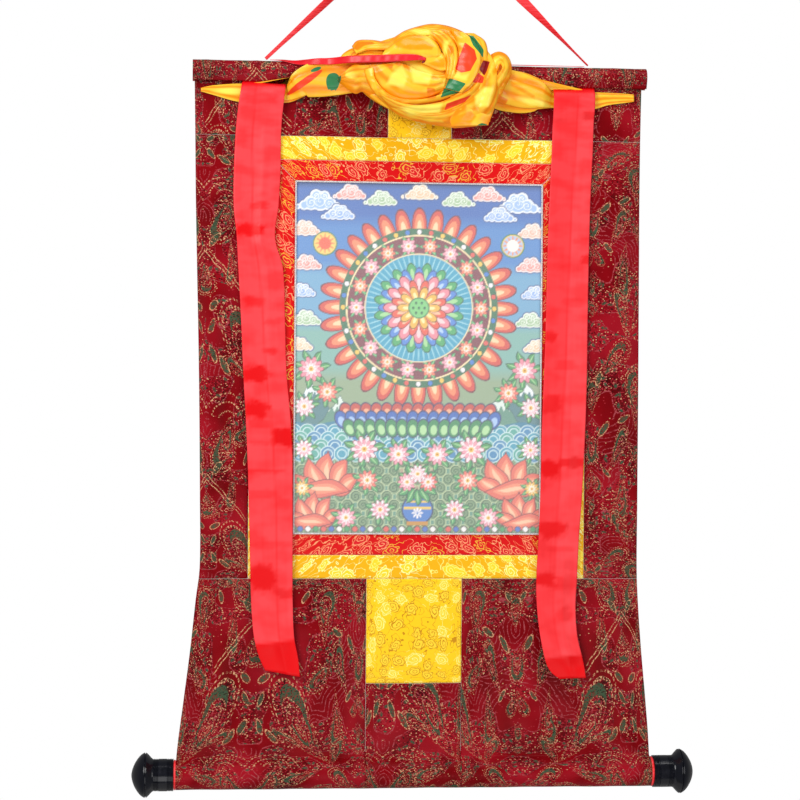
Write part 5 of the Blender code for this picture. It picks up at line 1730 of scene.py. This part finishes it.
def drawGarden(paint, x, z):
    # flames, flowers and leaves on both sides
    for side in (-1, 1):
        drawFlame(paint, side * 112, -142, 25, side)
        drawFlame(paint, side * 128, -186, 20, side)
        for flowerX, flowerZ, size, outer, inner in (
                (132, -14, 15, "#F08FA2", "#FBCBD2"), (112, -42, 12, "#F2745E", "#FFC0A0"),
                (140, -60, 12, "#F6F0F2", "#FBD5DC"), (66, -112, 16, "#FBE6EA", "#F4A3B2"),
                (24, -118, 13, "#F4A3B2", "#FCDCE0"), (140, -112, 11, "#FFFFFF", "#F7B9C6"),
                (62, -150, 12, "#F2745E", "#FFC9AE"), (88, -196, 12, "#F4A3B2", "#FCDCE0"),
                (46, -186, 12, "#F6F0F2", "#F3A6B6"), (142, -160, 9, "#F2C23C", "#FFF0A8")):
            drawLeaves(paint, side * flowerX, flowerZ, size * 0.85, range(10, 360, 50))
            drawFlower(paint, side * flowerX, flowerZ, size, outer, inner, petals=10)
    # a vase of peonies low in the middle
    for grow, shade in ((1.1, "#22305E"), (1.0, "#3A78C8")):
        paint.lay(paint.oval(0, -186, 18 * grow, 17 * grow), shade)
        paint.lay(np.minimum(10 * grow - np.abs(x), 6 - np.abs(z + 168)), shade)
    for high, half in ((-184, 1.5), (-176, 1.2)):
        paint.lay(np.minimum(paint.oval(0, -186, 17, 16), half - np.abs(z - high)), "#F2C84E")
    paint.layPetals(0, -190, (1, 7, 8, 0, 0.8, "#F6F0F2"))
    paint.lay(np.minimum(13 - np.abs(x), 2.5 - np.abs(z + 203)), "#C98A22")
    drawLeaves(paint, 0, -154, 14, range(0, 360, 30))
    for flowerX, flowerZ, outer in ((-13, -152, "#F4A3B2"), (13, -152, "#F2745E"), (0, -142, "#F6F0F2")):
        drawFlower(paint, flowerX, flowerZ, 11, outer, "#FBD5D6", petals=10)
    # a row of small jewels along the lower edge
    for number in range(-15, 16):
        jewel = ("#E4574B", "#3A6CC0", "#F4F2EE", "#3A9A5A")[number % 4]
        paint.layDiscs(number * 9.6, -210, (4.0, "#5A2A20"), (3.2, jewel))


def paintPicture(x, z):
    paint = Paint(x, z)
    drawGround(paint, x, z)
    drawSky(paint)
    drawWheel(paint, (0, 62))
    drawWater(paint, x, z)
    drawGarden(paint, x, z)
    # the whole print is a little pale
    paint.lay(np.full(len(x), 5.0), "#D8DADA", 0.16)
    return paint.colour


def makePicture():
    half = scroll["frameHalf"] - pictureInset
    top, bottom = scroll["frameTop"] - pictureInset, scroll["frameBottom"] + pictureInset
    inset = scroll["gap"] / 2
    across, down = round(2 * half / picture["step"]), round((top - bottom) / picture["step"])
    middleZ = (top + bottom) / 2
    grid = bmesh.new()
    bmesh.ops.create_grid(grid, x_segments=across, y_segments=down, size=0.5)
    flat = grid.loops.layers.uv.new("cloth")
    for vert in grid.verts:
        x = vert.co.x * 2 * (half - inset)
        z = middleZ + vert.co.y * (top - bottom - 2 * inset)
        vert.co = (x + scroll["middle"], drape(x, z) - picture["thickness"] / 2, z)
    for face in grid.faces:
        for corner in face.loops:
            corner[flat].uv = (corner.vert.co.x, corner.vert.co.z)
    rim = [edge for edge in grid.edges if edge.is_boundary]
    made = bmesh.ops.extrude_edge_only(grid, edges=rim)["geom"]
    backRing = [item for item in made if isinstance(item, bmesh.types.BMVert)]
    bmesh.ops.translate(grid, verts=backRing, vec=(0, picture["thickness"], 0))
    back = [edge for edge in grid.edges if edge.is_boundary]
    bmesh.ops.holes_fill(grid, edges=back, sides=0)
    bmesh.ops.recalc_face_normals(grid, faces=grid.faces)
    grid.verts.index_update()
    behind = [vert.index for vert in backRing]
    mesh = meshOf("painting", grid)
    places = np.zeros(len(mesh.vertices) * 3)
    mesh.vertices.foreach_get("co", places)
    places = places.reshape(-1, 3)
    colours = paintPicture((places[:, 0] - scroll["middle"]) / mm, (places[:, 2] - middleZ) / mm)
    colours[behind] = linearColour(picture["cotton"])
    layer = mesh.color_attributes.new("paint", "FLOAT_COLOR", "POINT")
    layer.data.foreach_set("color", colours.astype(np.float32).ravel())
    piece = toObject("painting", mesh, finishes["picture"], "painting")
    for face in mesh.polygons:
        face.use_smooth = len(face.vertices) == 4


print("camera, light and floor")
makeCamera()
makeLight()
makeFloor()

print("hanging ribbon")
makeHangCord()

print("panels")
makePanels()

print("heading, skirt and rods")
makeHeading()
makeSkirt("skirt_left", leftSide, scroll["lowerTab"][0], scroll["frameBottom"], 0.03)
makeSkirt("skirt_middle", *scroll["lowerTab"], scroll["tabBottom"], -0.15)
makeSkirt("skirt_right", scroll["lowerTab"][1], rightSide, scroll["frameBottom"], -0.08)
for rodName in ("top_rod", "roller"):
    nodes[rodName].data.materials.clear()
    nodes[rodName].data.materials.append(finishes["wood"]["material"])
makeKnobs()

print("ribbons and ties")
makeRibbon("left")
makeRibbon("right")
makeTie("veil_tie")
makeTie("rod_ribbon")

print("veil")
makeVeil()

print("picture and its cord")
makePicture()
makeEdging()

print("stitches")
hemEnds = leftSide(scroll["hemStitch"]) + 3 * mm, rightSide(scroll["hemStitch"]) - 3 * mm
makeStitches("hem_stitches", *hemEnds, hemSpot)
makeStitches("heading_stitches", rodSizes["ends"][0] + 4 * mm, rodSizes["ends"][1] - 4 * mm, headingSpot)
